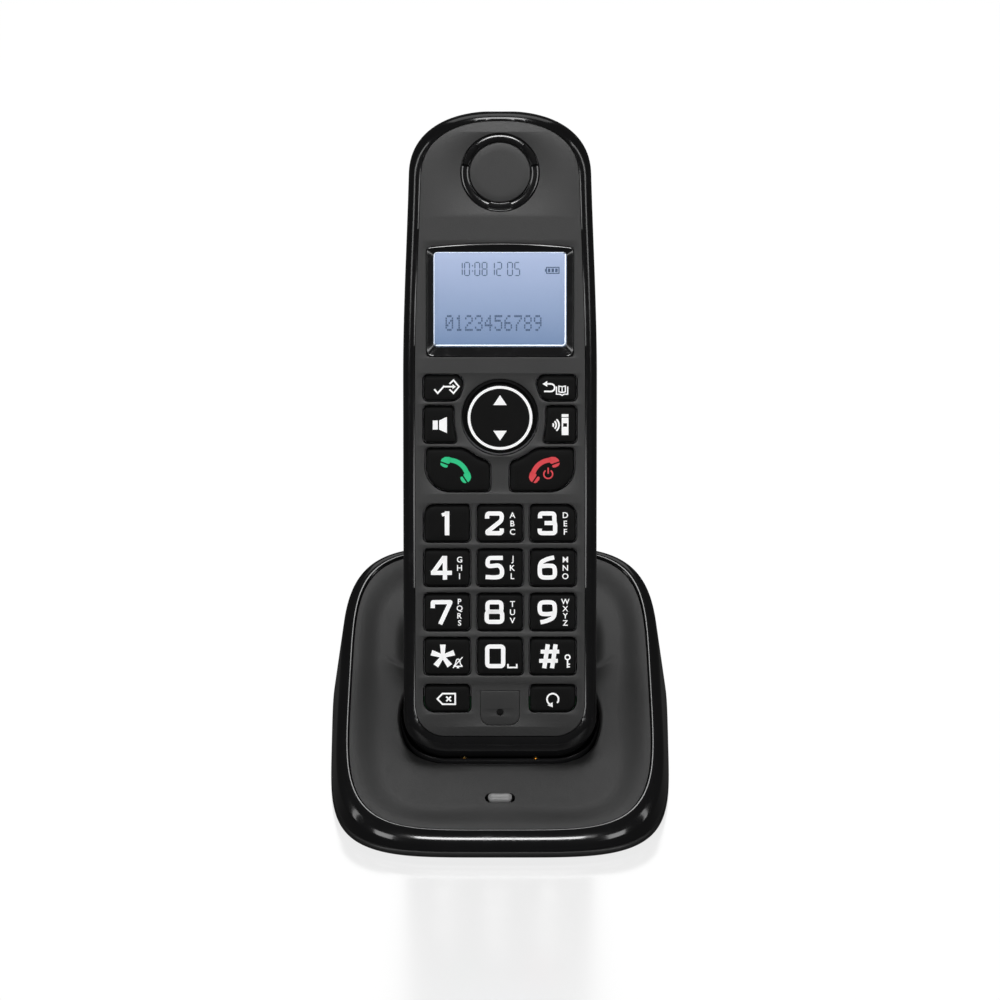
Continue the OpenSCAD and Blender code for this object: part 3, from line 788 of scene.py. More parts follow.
def make_battery_door(material):
    low, high = local_box("battery_door", HANDSET)
    skin = handset_skin("door skin", DOOR_SINK, 176, 112, 30)
    hollow = handset_skin("door hollow", WALL - 0.25, 64, 40, 10)
    block = box_prism("door block", low[:2], high[:2], 1.1, -THICK - 4, -THICK + WALL + 1)
    mesh = boolean(boolean(skin, [block], "INTERSECT"), [hollow])
    smooth_by_angle(mesh, 35)
    true_normals(mesh, lambda x, y, z: handset_field(x, y, z) + DOOR_SINK)
    return finish("battery_door_cover", mesh, HANDSET, "battery_door", material, ["battery_door"], smooth=0)


# ---------------------------------------------------------------- print on the keys (millimetres, from a key's middle)
PRINT = 0.012
PRINT_LEVEL = KEY_TOP + PRINT
ROCKER_PRINT_LEVEL = KEY_TOP + 0.02 + PRINT
Place = namedtuple("Place", "name x y")
STROKE = 1.08


def bend(points, radius, closed=False, steps=6):
    """Path with its corners rounded."""
    path = [np.array(p, float) for p in points]
    count = len(path)
    out = []
    for i, corner in enumerate(path):
        if not closed and i in (0, count - 1):
            out.append(corner)
            continue
        before, after = path[i - 1] - corner, path[(i + 1) % count] - corner
        room = min(radius, 0.5 * np.linalg.norm(before), 0.5 * np.linalg.norm(after))
        start = corner + before / np.linalg.norm(before) * room
        stop = corner + after / np.linalg.norm(after) * room
        for k in range(steps + 1):
            t = k / steps
            out.append((1 - t) ** 2 * start + 2 * t * (1 - t) * corner + t * t * stop)
    return out


def swing(x, y, radius, start, stop, count=24):
    """Points along an arc, from one angle in degrees to another."""
    spin = np.radians(np.linspace(start, stop, count))
    return [(x + radius * math.cos(a), y + radius * math.sin(a)) for a in spin]


class Ink:
    """Flat printed shapes that ride on one key."""

    def __init__(self, x=0.0, y=0.0, scale=1.0):
        self.shift, self.scale = np.array((x, y)), scale
        self.points, self.faces = [], []

    def place(self, x, y, scale=1.0):
        self.shift, self.scale = np.array((x, y)), scale
        return self

    def fill(self, points):
        start = len(self.points)
        self.points += [self.shift + self.scale * np.array(p) for p in points]
        face_part = tuple(range(start, len(self.points)))
        ring = self.points[start:]
        area = sum(a[0] * b[1] - b[0] * a[1] for a, b in zip(ring, ring[1:] + ring[:1]))
        self.faces.append(face_part if area > 0 else face_part[::-1])
        return self

    def line(self, points, width=STROKE, closed=False, radius=0.0):
        path = np.array(bend(points, radius, closed) if radius else points, float)
        keep = [i for i in range(len(path)) if i == 0 or np.linalg.norm(path[i] - path[i - 1]) > 1e-6]
        path = path[keep]
        ahead = np.roll(path, -1, 0) - path
        behind = path - np.roll(path, 1, 0)
        if not closed:
            ahead[-1], behind[0] = behind[-1], ahead[0]
        ahead /= np.linalg.norm(ahead, axis=1, keepdims=True)
        behind /= np.linalg.norm(behind, axis=1, keepdims=True)
        mean = ahead + behind
        mean /= np.linalg.norm(mean, axis=1, keepdims=True)
        side = np.column_stack([-mean[:, 1], mean[:, 0]])
        stretch = 1 / np.maximum((mean * ahead).sum(1), 0.45)
        half = width / 2 * side * stretch[:, None]
        left, right = path + half, path - half
        last = len(path) if closed else len(path) - 1
        for i in range(last):
            j = (i + 1) % len(path)
            self.fill([left[i], right[i], right[j], left[j]])
        return self

    def block(self, x0, y0, x1, y1):
        return self.fill([(x0, y0), (x1, y0), (x1, y1), (x0, y1)])

    def ring(self, x, y, radius, width):
        return self.line(swing(x, y, radius, 0, 360 - 360 / 64, 64), width, closed=True)

    def made(self, name, place, material, level=PRINT_LEVEL):
        """The print as a piece at a level, on the body and round the middle that place gives."""
        points = [(p[0] + place.x, p[1] + place.y, level) for p in self.points]
        mesh = mesh_from(name, points, self.faces, tidy=False)
        return finish(name, mesh, HANDSET, place.name, material, smooth=0)


DIGITS = {
    "1": [([(0.35, -3.05), (0.35, 3.05)], 0, 1.15), ([(0.6, 2.62), (-0.95, 2.12)], 0, 0.85)],
    "2": [([(-1.83, 1.2), (-1.83, 2.5), (1.83, 2.5), (1.83, 0.75), (-1.75, -2.1), (-1.75, -2.5), (1.83, -2.5),
            (1.83, -1.3)], 0.75, STROKE)],
    "3": [([(-1.83, 1.3), (-1.83, 2.5), (1.75, 2.5), (1.75, 0.35), (1.95, -0.3), (1.95, -2.5), (-1.9, -2.5),
            (-1.9, -1.35)], 0.7, STROKE), ([(-0.7, 0.08), (1.8, 0.08)], 0, STROKE)],
    "4": [([(0.85, -3.05), (0.85, 3.0)], 0, STROKE), ([(0.7, 2.75), (-2.15, -1.25)], 0, STROKE),
          ([(-2.65, -1.3), (2.6, -1.3)], 0, STROKE)],
    "5": [([(2.1, 2.5), (-1.6, 2.5), (-1.8, 0.35), (1.2, 0.62), (1.95, -0.4), (1.85, -2.2), (0.2, -2.5),
            (-2.2, -2.35)], 0.9, STROKE)],
    "6": [([(1.7, 2.62), (0.2, 2.3), (-1.7, 1.4), (-1.95, -0.6), (-1.75, -2.4), (0, -2.55), (1.8, -2.4),
            (1.95, -0.9), (1.7, 0.45), (-0.2, 0.55), (-1.7, 0.3)], 0.9, STROKE)],
    "7": [([(-2.2, 1.0), (-2.2, 2.5), (2.25, 2.55), (-0.35, -3.1)], 0.15, STROKE)],
    "8": [([(-1.75, 2.5), (1.75, 2.5), (1.75, 0.1), (-1.75, 0.1)], 0.8, STROKE),
          ([(-1.95, 0.1), (1.95, 0.1), (1.95, -2.5), (-1.95, -2.5)], 0.85, STROKE)],
    "0": [([(-2.0, 2.5), (2.0, 2.5), (2.0, -2.5), (-2.0, -2.5)], 0.75, STROKE)],
    "#": [([(-1.25, -3.05), (-0.35, 3.05)], 0, STROKE), ([(0.7, -3.05), (1.6, 3.05)], 0, STROKE),
          ([(-2.5, -1.15), (2.15, -1.15)], 0, 1.0), ([(-2.15, 1.2), (2.5, 1.2)], 0, 1.0)],
}
CLOSED_DIGITS = "08"
LETTERS = {"2": "ABC", "3": "DEF", "4": "GHI", "5": "JKL", "6": "MNO", "7": "PQRS", "8": "TUV", "9": "WXYZ"}
LETTER_HEIGHT = 1.5


def letter_shapes(ink, letter, x, y, height):
    """Adds one small letter, set in the built-in face."""
    curve = bpy.data.curves.new("letter", "FONT")
    curve.body, curve.size = letter, height * 1.38
    curve.align_x, curve.align_y = "CENTER", "CENTER"
    curve.offset = 0.03
    curve.resolution_u = 3
    mesh = settled(linked("letter", curve))
    corners = corners_in(mesh)[:, :2]
    middle = (corners.min(0) + corners.max(0)) / 2
    for face_part in mesh.polygons:
        ink.fill([corners[v] - middle + (x, y) for v in face_part.vertices])


def draw_digit(ink, digit):
    if digit == "9":
        for points, radius, width in DIGITS["6"]:
            ink.line([(-x, -y) for x, y in points], width, radius=radius)
    elif digit == "*":
        for k in range(5):
            a = math.radians(90 + 72 * k)
            ahead, side = np.array((math.cos(a), math.sin(a))), np.array((-math.sin(a), math.cos(a)))
            ink.fill([0.42 * side, 3.0 * ahead + 0.72 * side, 3.0 * ahead - 0.72 * side, -0.42 * side])
    else:
        for points, radius, width in DIGITS[digit]:
            ink.line(points, width, closed=digit in CLOSED_DIGITS, radius=radius)


def draw_bell(ink):
    ink.line([(-1.05, -0.85), (-0.6, -0.3), (-0.45, 0.65), (0, 1.05), (0.45, 0.65), (0.6, -0.3), (1.05, -0.85)],
             0.28, radius=0.25)
    ink.line([(-1.15, -0.9), (1.15, -0.9)], 0.3)
    ink.line([(-0.3, -1.25), (0.3, -1.25)], 0.34)
    ink.line([(-1.25, -1.35), (1.15, 1.45)], 0.26)


def draw_key_symbol(ink):
    ink.ring(0, 1.0, 0.6, 0.34)
    ink.line([(0, 0.45), (0, -1.7)], 0.38)
    ink.line([(0.1, -0.75), (0.62, -0.75)], 0.34)
    ink.line([(0.1, -1.45), (0.62, -1.45)], 0.34)


def draw_handset(ink, flip):
    """Telephone receiver: a bowed grip, and at each end a head and a pad with a cut between."""
    centre, lean = np.array((-2.3, -2.1)), math.radians(104)
    head = [(-4.35, 2.35), (-4.0, 2.95), (-3.3, 3.4), (-2.3, 3.42), (-1.6, 3.2), (-2.1, 1.75), (-2.45, 1.65)]
    pad = [(-4.35, 1.95), (-2.6, 1.3), (-2.55, 1.0), (-2.8, 0.72), (-3.35, 0.75), (-4.05, 1.1), (-4.4, 1.55)]

    def mirrored(point):
        x, y = np.array(point) - centre
        return centre + (x * math.cos(lean) + y * math.sin(lean), x * math.sin(lean) - y * math.cos(lean))

    ink.line([(flip * x, y) for x, y in swing(*centre, 4.72, 88, 16, 26)], 1.2)
    for shape in (head, pad):
        ink.fill([(flip * x, y) for x, y in shape])
        ink.fill([(flip * x, y) for x, y in map(mirrored, shape)])


def print_keys(keys):
    # The print's emission of 0.25 is a painted glow: the ink shines on its own, brighter than the lamps light it.
    white = printed("white key print", (0.9, 0.9, 0.9, 1), 0.25)
    named = {key.name[4:]: key for key in keys}
    for sign in list("123456789") + ["star", "0", "hash"]:
        key = named[sign]
        digit = {"star": "*", "hash": "#"}.get(sign, sign)
        ink = Ink()
        if digit == "1":
            ink.place(-0.35, 0.15)
        else:
            ink.place({"*": -1.1, "0": -1.2, "#": -0.9}.get(digit, -1.4), 0.15)
        draw_digit(ink, digit)
        letters = LETTERS.get(digit, "")
        height = LETTER_HEIGHT if len(letters) < 4 else 1.42
        pitch = 2.12 if len(letters) < 4 else 1.82
        ink.place(3.12, 0.1)
        for i, letter in enumerate(letters):
            letter_shapes(ink, letter, 0, ((len(letters) - 1) / 2 - i) * pitch, height)
        if digit == "*":
            draw_bell(ink.place(2.7, -1.5))
        if digit == "0":
            ink.place(3.1, -2.3).line([(-1.1, 0.5), (-1.1, -0.4), (1.1, -0.4), (1.1, 0.5)], 0.4)
        if digit == "#":
            draw_key_symbol(ink.place(3.7, -1.1))
        ink.made("print_" + sign, key, white)

    ink = Ink().place(0.3, -0.55).line([(-2.6, 0.35), (-1.75, -0.65), (-0.1, 1.2)], 0.42)
    ink.place(2.25, 0.45).line([(-2.05, 0), (0.4, 0)], 0.42).fill([(0.0, 0.62), (0.0, -0.62), (0.85, 0)])
    ink.line([(-0.75, 0.7), (0.25, 1.65), (1.6, 0), (0.25, -1.65), (-0.75, -0.7)], 0.4)
    ink.made("print_ok", named["ok"], white)

    ink = Ink().place(-2.0, 0.35).line(swing(0.6, -0.15, 0.95, 90, -90, 18), 0.42)
    ink.line([(-0.4, 0.8), (0.65, 0.8)], 0.42).line([(-1.1, -1.1), (0.65, -1.1)], 0.42)
    ink.fill([(-1.5, 0.8), (-0.3, 1.55), (-0.3, 0.05)])
    ink.place(1.4, -0.5)
    ink.line([(-1.4, 1.0), (-1.4, -0.95), (-0.5, -0.95), (0, -1.25), (0.5, -0.95), (1.4, -0.95), (1.4, 1.0)], 0.3)
    ink.line([(0, 0.95), (0, -0.55)], 0.26)
    for side in (-1, 1):
        ink.line([(0, 0.95), (0.8 * side, 1.1), (0.8 * side, -0.35), (0, -0.55)], 0.3)
    ink.made("print_back", named["back"], white)

    ink = Ink().place(-0.15, 0.0).fill([(-1.75, 1.15), (-1.75, -1.15), (-0.5, -1.15), (-0.5, 1.15)])
    ink.fill([(-0.15, 1.15), (-0.15, -1.15), (1.8, -2.05), (1.8, 2.05)])
    ink.made("print_speaker", named["speaker"], white)

    ink = Ink().place(-0.35, 0.0)
    for radius in (0.55, 1.25, 1.95):
        ink.line(swing(-1.75, 0, radius, -48, 48, 14), 0.4)
    ink.place(1.35, 0.1)
    for low, high in ((-2.65, -0.55), (0.35, 1.75), (1.95, 2.65)):
        ink.block(-0.85, low, 0.85, high)
    ink.block(-0.85, -0.6, -0.5, 0.4).block(0.5, -0.6, 0.85, 0.4)
    ink.made("print_intercom", named["intercom"], white)

    ink = Ink()
    draw_handset(ink, 1)
    # The green print carries the same painted glow of 0.25.
    ink.made("print_talk", named["talk"], printed("green key print", (0.0, 0.5, 0.2, 1), 0.25))
    ink = Ink()
    draw_handset(ink, -1)
    ink.place(1.55, -0.95).line(swing(0, 0, 1.1, 125, 415, 30), 0.36).line([(0, 0.1), (0, 1.65)], 0.36)
    # The red print carries the same painted glow of 0.25.
    ink.made("print_end", named["end"], printed("red key print", (0.62, 0.035, 0.045, 1), 0.25))

    ink = Ink().place(-0.3, 0).line([(-2.2, 0), (-0.9, 1.35), (2.3, 1.35), (2.3, -1.35), (-0.9, -1.35)], 0.42,
                                    closed=True)
    ink.line([(0.05, 0.6), (1.25, -0.6)], 0.42).line([(0.05, -0.6), (1.25, 0.6)], 0.42)
    ink.made("print_clear", named["flash"], white)
    ink = Ink().place(0, -0.1).line(swing(0, 0, 1.45, -40, 250, 30), 0.42)
    ink.fill([(-1.35, -1.5), (-0.05, -0.75), (0.0, -2.05)])
    ink.made("print_redial", named["redial"], white)

    ink = Ink().ring(0, 0, 7.75, 0.68)
    for side in (-1, 1):
        ink.fill([(-1.68, side * 3.25), (1.68, side * 3.25), (0, side * 5.75)])
    ink.made("print_rocker", Place("key_rocker", *ROCKER), white, ROCKER_PRINT_LEVEL)


# ---------------------------------------------------------------- display, openings and small parts
def flat_panel(name, low, high, top, material, replaces):
    """Thin plate between two corners on the handset; its front face is at top."""
    mesh = plate_mesh(name, [box_outline(low, high, 0.35)], 0.4, 0.05, top)
    return finish(name, mesh, HANDSET, "handset", material, replaces)


def display_glow():
    """Back-lit panel: paler at its head; the brighter rim where the light guide ends is drawn separately, in
    make_display.
    """
    made = Finish("back-lit blue panel", "display")
    low = HANDSET @ Vector((0, panel_low[1], -1))
    high = HANDSET @ Vector((0, panel_high[1], -1))
    parts = made.tree.nodes.new("ShaderNodeSeparateXYZ")
    made.feed(parts.inputs[0], made.object)
    height = (Wire(made, parts.outputs[2]) - low.z) / (high.z - low.z)
    cloud = made.noise(70, 1)
    colour = made.mix(height + cloud * 0.06 - 0.03, (0.19, 0.29, 0.5, 1), (0.50, 0.60, 0.86, 1))
    made.set(Base_Color=made.mix(height, (0.03, 0.05, 0.08, 1), (0.08, 0.1, 0.14, 1)), Emission_Color=colour,
             Emission_Strength=0.7, Roughness=0.5 + cloud * 0.05)
    return made


SEGMENTS = {"0": "abcdef", "1": "bc", "2": "abged", "8": "abcdefg", "3": "abgcd", "5": "afgcd", "4": "fgbc"}
SEGMENT_ENDS = {"a": ((0, 1), (0.36, 1)), "b": ((0.36, 1), (0.36, 0.5)), "c": ((0.36, 0.5), (0.36, 0)),
                "d": ((0, 0), (0.36, 0)), "e": ((0, 0), (0, 0.5)), "f": ((0, 0.5), (0, 1)),
                "g": ((0, 0.5), (0.36, 0.5))}


def draw_display(material):
    """Dark segments: a clock line, a battery mark and one line of dot-matrix digits."""
    ink = Ink()
    height = 3.3

    def digits(text, x, y):
        for sign in text:
            if sign == " ":
                x += 0.9
                continue
            if sign == ":":
                for lift in (0.3 * height, 0.7 * height):
                    ink.block(x, y + lift, x + 0.3, y + lift + 0.3)
                x += 0.75
                continue
            for part in SEGMENTS[sign]:
                (ax, ay), (bx, by) = SEGMENT_ENDS[part]
                a, b = np.array((ax, ay)) * height, np.array((bx, by)) * height
                gap = (b - a) / np.linalg.norm(b - a) * 0.14
                ink.line([a + gap + (x, y), b - gap + (x, y)], 0.24)
            x += 1.8

    top = panel_high[1]
    digits("10:08", -10.6, top - 6.0)
    digits("12 05", -2.6, top - 6.0)
    x, y = 13.2, top - 4.7
    ink.line([(x - 1.6, y - 0.75), (x + 1.5, y - 0.75), (x + 1.5, y + 0.75), (x - 1.6, y + 0.75)], 0.25,
             closed=True)
    for k in range(3):
        ink.block(x - 1.25 + 0.9 * k, y - 0.45, x - 0.65 + 0.9 * k, y + 0.45)
    ink.block(x - 2.0, y - 0.35, x - 1.7, y + 0.35)
    dot, pitch, row_pitch = 0.34, 0.39, 0.58
    for place, sign in enumerate("0123456789"):
        for row, bits in enumerate(DOT_DIGITS[sign]):
            for column in range(5):
                if bits >> (4 - column) & 1:
                    px = -13.6 + place * 2.45 + column * pitch
                    py = panel_low[1] + 7.9 - row * row_pitch
                    ink.block(px, py - 0.5, px + dot, py)
    ink.made("display_segments", Place("handset", 0, 0), material, DISPLAY_LEVEL + 0.03)


DOT_DIGITS = {"0": (14, 17, 19, 21, 25, 17, 14), "1": (4, 12, 4, 4, 4, 4, 14), "2": (14, 17, 1, 6, 8, 16, 31),
              "3": (14, 17, 1, 6, 1, 17, 14), "4": (2, 6, 10, 18, 31, 2, 2), "5": (31, 16, 30, 1, 1, 17, 14),
              "6": (6, 8, 16, 30, 17, 17, 14), "7": (31, 1, 2, 4, 8, 8, 8), "8": (14, 17, 17, 14, 17, 17, 14),
              "9": (14, 17, 17, 15, 1, 2, 12)}
DISPLAY_LEVEL = panel_low[2] - 0.05


def make_display():
    low, high = np.array(panel_low[:2]), np.array(panel_high[:2])
    flat_panel("display_glass", low + 0.05, high - 0.05, panel_high[2], window_glass(), ["display_lens"])
    flat_panel("display_picture", low + 0.15, high - 0.15, DISPLAY_LEVEL, display_glow(), ["display_panel"])
    guide = printed("white light guide", (0.85, 0.92, 1.0, 1), 0.9, "backlight")
    edge = Ink()
    edge.line([low + (0.6, 0.3), (high[0] - 0.32, low[1] + 0.3), high - (0.32, 0.6)], 0.26, radius=0.9)
    edge.line([high - (0.6, 0.18), (low[0] + 0.18, high[1] - 0.18), low + (0.18, 0.6)], 0.12, radius=0.9)
    edge.made("light_guide_edge", Place("handset", 0, 0), guide, DISPLAY_LEVEL + 0.02)
    draw_display(plain("dark liquid crystal", "display", (0.05, 0.10, 0.2), 0.5))


def window_glass():
    made = Finish("clear hard-coated window", "window")
    haze = made.noise(300, 2)
    made.set(Base_Color=(1, 1, 1, 1), Roughness=0.03 + haze * 0.03, Transmission_Weight=1.0, IOR=1.3,
             Alpha=0.25 + haze * 0.02)
    return made


# ---------------------------------------------------------------- the base's form (millimetres)
floor_low, floor_high = local_box("base_bottom_shell")
BASE_HALF_W = floor_high[0]
BASE_HALF_D = (floor_high[1] - floor_low[1]) / 2
BASE_MID = (floor_high[1] + floor_low[1]) / 2
BASE_FOOT = floor_low[2]
SEAM = local_box("base_gloss_rim")[0][2]
BASE_POWER = 4.4
DRAFT = math.tan(math.radians(7))
RIM_WIDTH = 3.0
RIM_SHOWN = RIM_WIDTH - 0.4
RIM_NOSE = 2.5
DISH_DROP = 0.55
POCKET_GAP = 1.0
rim_height = float((vertices("page_key") @ np.array(rim_normal)).max())
RIM = tilted_frame(rim_up, rim_normal * rim_height)
to_handset = np.array(HANDSET.inverted() @ RIM)
RIM_PLANE = rim_height / MM
UP_Y, UP_Z = rim_up.y, rim_up.z
OUT_Y, OUT_Z = rim_normal.y, rim_normal.z


def rim_z(y):
    """Height of the rim's plane over a place on the desk."""
    return (RIM_PLANE - y * OUT_Y) / OUT_Z


def base_field(x, y, inset):
    a, b = BASE_HALF_W - inset, BASE_HALF_D - inset
    reach_out = (np.abs(x) / a) ** BASE_POWER + (np.abs(y - BASE_MID) / b) ** BASE_POWER
    return (reach_out ** (1 / BASE_POWER) - 1) * a


def wall_inset(z):
    return (z - BASE_FOOT) * DRAFT


BASE_COUNT = 320


def rim_ring(inset, drop):
    """Ring of the rim at a distance in from the drafted wall and below the rim's plane."""
    flat = outline_of(lambda x, y: base_field(x, y, inset + wall_inset(rim_z(y) - drop)), (0, BASE_MID),
                      BASE_COUNT, far=90)
    return np.column_stack([flat, rim_z(flat[:, 1]) - drop])


def level_ring(inset, z):
    flat = outline_of(lambda x, y: base_field(x, y, inset + wall_inset(z)), (0, BASE_MID), BASE_COUNT, far=90)
    return at_height(flat, z)


def make_rim(material):
    rings = [level_ring(1.9, SEAM + 0.02), level_ring(0.42, SEAM + 0.02), level_ring(0.12, SEAM + 0.1),
             level_ring(0.0, SEAM + 0.32)]
    rings += [rings[-1] * (1 - k) + rim_ring(0.0, RIM_NOSE) * k for k in (0.25, 0.5, 0.75)]
    for i in range(15):
        turn = math.pi / 2 * i / 14
        rings.append(rim_ring(RIM_SHOWN * (1 - math.cos(turn)), RIM_NOSE * (1 - math.sin(turn))))
    rings += [rim_ring(RIM_SHOWN + 0.15, 0.08), rim_ring(RIM_SHOWN + 0.25, 0.3),
              rim_ring(RIM_WIDTH, 0.6), rim_ring(RIM_WIDTH, 2.4), rim_ring(1.9, 3.2)]
    mesh = rings_mesh("rim", rings, loop=True)
    mesh = boolean(mesh, jack_openings())
    return finish("base_rim", mesh, WORLD, "base", material, ["base_gloss_rim"], smooth=40)


def jack_openings():
    cutters = []
    for node in ("line_jack", "power_jack"):
        low, high = local_box(node)
        corners = [(x, z) for x in (low[0] - 0.1, high[0] + 0.1) for z in (low[2] - 0.1, high[2] + 0.1)]
        points = [(x, y, z) for y in (low[1] - 0.5, high[1] + 8) for x, z in corners]
        faces = [(0, 1, 3, 2), (4, 6, 7, 5), (0, 4, 5, 1), (2, 3, 7, 6), (0, 2, 6, 4), (1, 5, 7, 3)]
        cutters.append(mesh_from("jack opening", points, faces))
    return cutters


def make_bottom_shell(material):
    rings = [level_ring(4.0, BASE_FOOT), level_ring(1.0, BASE_FOOT), level_ring(0.45, BASE_FOOT + 0.1),
             level_ring(0.12, BASE_FOOT + 0.4), level_ring(0.0, BASE_FOOT + 0.8), level_ring(0.0, SEAM - 0.4),
             level_ring(0.12, SEAM - 0.2), level_ring(0.5, SEAM - 0.07), level_ring(1.9, SEAM - 0.06)]
    mesh = rings_mesh("bottom shell", rings)
    holes = []
    for node, radius, grow, depth in (("base_feet", 4.5, 0.1, 0.62), ("base_screws", 2.2, 0.3, 1.5),
                                      ("base_screws", 2.2, -1.0, 4.0)):
        for x, y in corners_of(node, radius):
            holes.append(prism("hole", circle(x, y, radius + grow, 48), BASE_FOOT - 2, BASE_FOOT + depth))
    mesh = boolean(mesh, holes)
    return finish("bottom_shell", mesh, WORLD, "base", material, ["base_bottom_shell"], smooth=35)


def corners_of(node, radius):
    """Middles of four round pieces in a rectangle, from the box round them."""
    low, high = local_box(node)
    return [(x, y) for x in (low[0] + radius, high[0] - radius) for y in (low[1] + radius, high[1] - radius)]


def make_feet(material):
    low, high = local_box("base_feet")
    profile = [(0, low[2] + 0.12), (3.0, low[2] + 0.06), (3.6, low[2]), (4.0, low[2] + 0.04), (4.35, low[2] + 0.2),
               (4.5, low[2] + 0.5), (4.5, high[2]), (0, high[2])]
    points, faces = [], []
    count = 48
    for x, y in corners_of("base_feet", 4.5):
        start = len(points)
        for radius, z in profile:
            points += [(px, py, z) for px, py in circle(x, y, max(radius, 0.001), count)]
        faces += [tuple(start + i for i in f) for f in ring_faces(len(profile), count)]
    return finish("rubber_feet", mesh_from("feet", points, faces), WORLD, "base", material, ["base_feet"])


# ---- the dish and the pocket, in the rim's frame: x, v up the slope, h out of the plane ----
def rim_to_handset(x, v, h):
    points = np.stack([x, v, h, np.ones(np.shape(x))], -1) @ to_handset.T
    return points[..., 0], points[..., 1], points[..., 2]


def rim_desk(v, h):
    """World y and z of a place in the rim's frame."""
    return v * UP_Y + (h + RIM_PLANE) * OUT_Y, v * UP_Z + (h + RIM_PLANE) * OUT_Z


def dish_edge_field(x, v):
    y, z = rim_desk(v, -DISH_DROP)
    return base_field(x, y, RIM_WIDTH + 0.1 + wall_inset(z))


def pocket_field(x, v):
    return handset_field(*rim_to_handset(x, v, np.zeros(np.shape(x)))) - POCKET_GAP


heel_front = (HANDSET @ Vector((0, 6, -9)))
POCKET_MID = (0.0, (heel_front.y * UP_Y + heel_front.z * UP_Z) / MM)
DISH_COUNT = 288
REAR_RISE = 15.0
FRONT_RISE = -2.0
LIFT_SHIFT = np.array((RIM.inverted() @ HANDSET).to_3x3() @ Vector((0, 1, 0)))


def dish_paths():
    """For every direction from the pocket's middle: the pocket's edge, the dish's edge and the ridge's rise."""
    inner = outline_of(pocket_field, POCKET_MID, DISH_COUNT)
    outer = outline_of(dish_edge_field, POCKET_MID, DISH_COUNT, far=120)
    spin = np.arange(DISH_COUNT) / DISH_COUNT * TURN
    rear = ease(np.sin(spin), 0.1, 0.95)
    rise = FRONT_RISE + (REAR_RISE - FRONT_RISE) * rear * (1 - ease(np.abs(inner[:, 0]), 11, 25))
    return inner, outer, rise


def dish_ring(paths, share=None, inward=0.0, lower=0.0):
    """Ring between the pocket's edge and the dish's edge; inward is in millimetres from the pocket's edge."""
    inner, outer, rise = paths
    gap = outer - inner
    length = np.linalg.norm(gap, axis=1)
    distance = np.full(DISH_COUNT, inward) if share is None else inward + (length - inward) * share
    flat = inner + gap * (distance / length)[:, None]
    spread = 8.5 + 1.05 * np.abs(rise) + 5.0 * (rise < 0)
    slope = np.clip(1 - distance / spread, 0, 1) ** 2
    lip = -0.55 * (1 - np.sqrt(np.clip(distance / 0.7, 0, 1))) ** 1.6
    edge = length - distance
    sink = -DISH_DROP - 0.85 * ease(edge, 0.0, 9.0) * (1 - slope)
    lift = (rise + DISH_DROP) * slope
    points = np.column_stack([flat, sink + lip - lower])
    return points + LIFT_SHIFT * lift[:, None]


def make_dish(material):
    paths = dish_paths()
    rings = [dish_ring(paths, inward=d) for d in (0.0, 0.03, 0.1, 0.22, 0.4, 0.7, 1.1)]
    rings += [dish_ring(paths, share=k / 40, inward=1.1) for k in range(1, 41)]
    rings += [dish_ring(paths, share=1.0, inward=1.1, lower=1.8)]
    rings += [dish_ring(paths, share=k / 12, inward=1.1, lower=1.8) for k in range(11, -1, -1)]
    rings += [dish_ring(paths, inward=0.0, lower=1.8)]
    mesh = rings_mesh("dish", rings, loop=True)
    low, high = local_box("page_key", RIM)
    grow = np.array((0.78, 0.5))
    mesh = boolean(mesh, [box_prism("page opening", low[:2] - grow, high[:2] + grow, 1.45, -8, 6)])
    return finish("dish_cover", mesh, RIM, "base", material, ["base_dish_cover"], smooth=45)


def make_pocket(material):
    """Bowl round the handset's heel, with its lip under the dish's ridge."""
    inner, outer, rise = dish_paths()
    lip = np.column_stack([inner, np.zeros(DISH_COUNT)]) + LIFT_SHIFT * rise[:, None]
    lip = np.stack(rim_to_handset(*lip.T), -1)
    low = np.array([0.0, 15.0, -10.5])
    pole = np.array([0.0, -2.0, -9.0])

    def ring(share, growth, lower=0.0):
        aim = lip * (1 - share) + pole * share
        aim[:, 1] -= lower
        start = np.column_stack([np.zeros(DISH_COUNT), np.maximum(aim[:, 1], low[1]), np.full(DISH_COUNT, low[2])])
        way = aim - start
        way /= np.linalg.norm(way, axis=1, keepdims=True)
        distance = reach(lambda x, y, z: handset_field(x, y, z) - growth, start, way, 90)
        return start + distance[:, None] * way

    shares = [k / 26 for k in range(27)]
    rings = [ring(s, POCKET_GAP + 0.03, 0.35) for s in reversed(shares)]
    rings += [ring(0, POCKET_GAP + 0.25, 0.7), ring(0, POCKET_GAP + 0.9, 2.6)]
    rings += [ring(s, POCKET_GAP + 1.5, 4.0 * (1 - s)) for s in shares]
    mesh = rings_mesh("pocket", rings, closed_start=False, closed_end=False)
    return finish("pocket_liner", mesh, HANDSET, "base", material, ["cradle_pocket"], smooth=60)


def make_page_key(material):
    low, high = local_box("page_key", RIM)
    centre, half = middle_half(low, high)

    def pill(x, y):
        return round_box_field(x - centre[0], y - centre[1], half[0], half[1], half[1] - 0.02)

    top = high[2] - 0.55
    layers = [(0.25, low[2]), (0.25, -1.6), (0.0, -1.5), (0.0, top - 0.3), (0.06, top - 0.12), (0.2, top)]
    mesh = cushion("page key", pill, centre, layers, crown=0.08, count=120)
    return finish("page_key_cap", mesh, RIM, "page_key", material, ["page_key"], smooth=50)


# ---------------------------------------------------------------- floor, light and camera
def area_light(name, place, aim, size, power):
    light = bpy.data.lights.new(name, "AREA")
    light.shape = "RECTANGLE"
    light.size, light.size_y = size
    light.energy = power
    obj = linked(name, light)
    obj.location = place
    obj.rotation_euler = (Vector(aim) - Vector(place)).to_track_quat("-Z", "Y").to_euler()


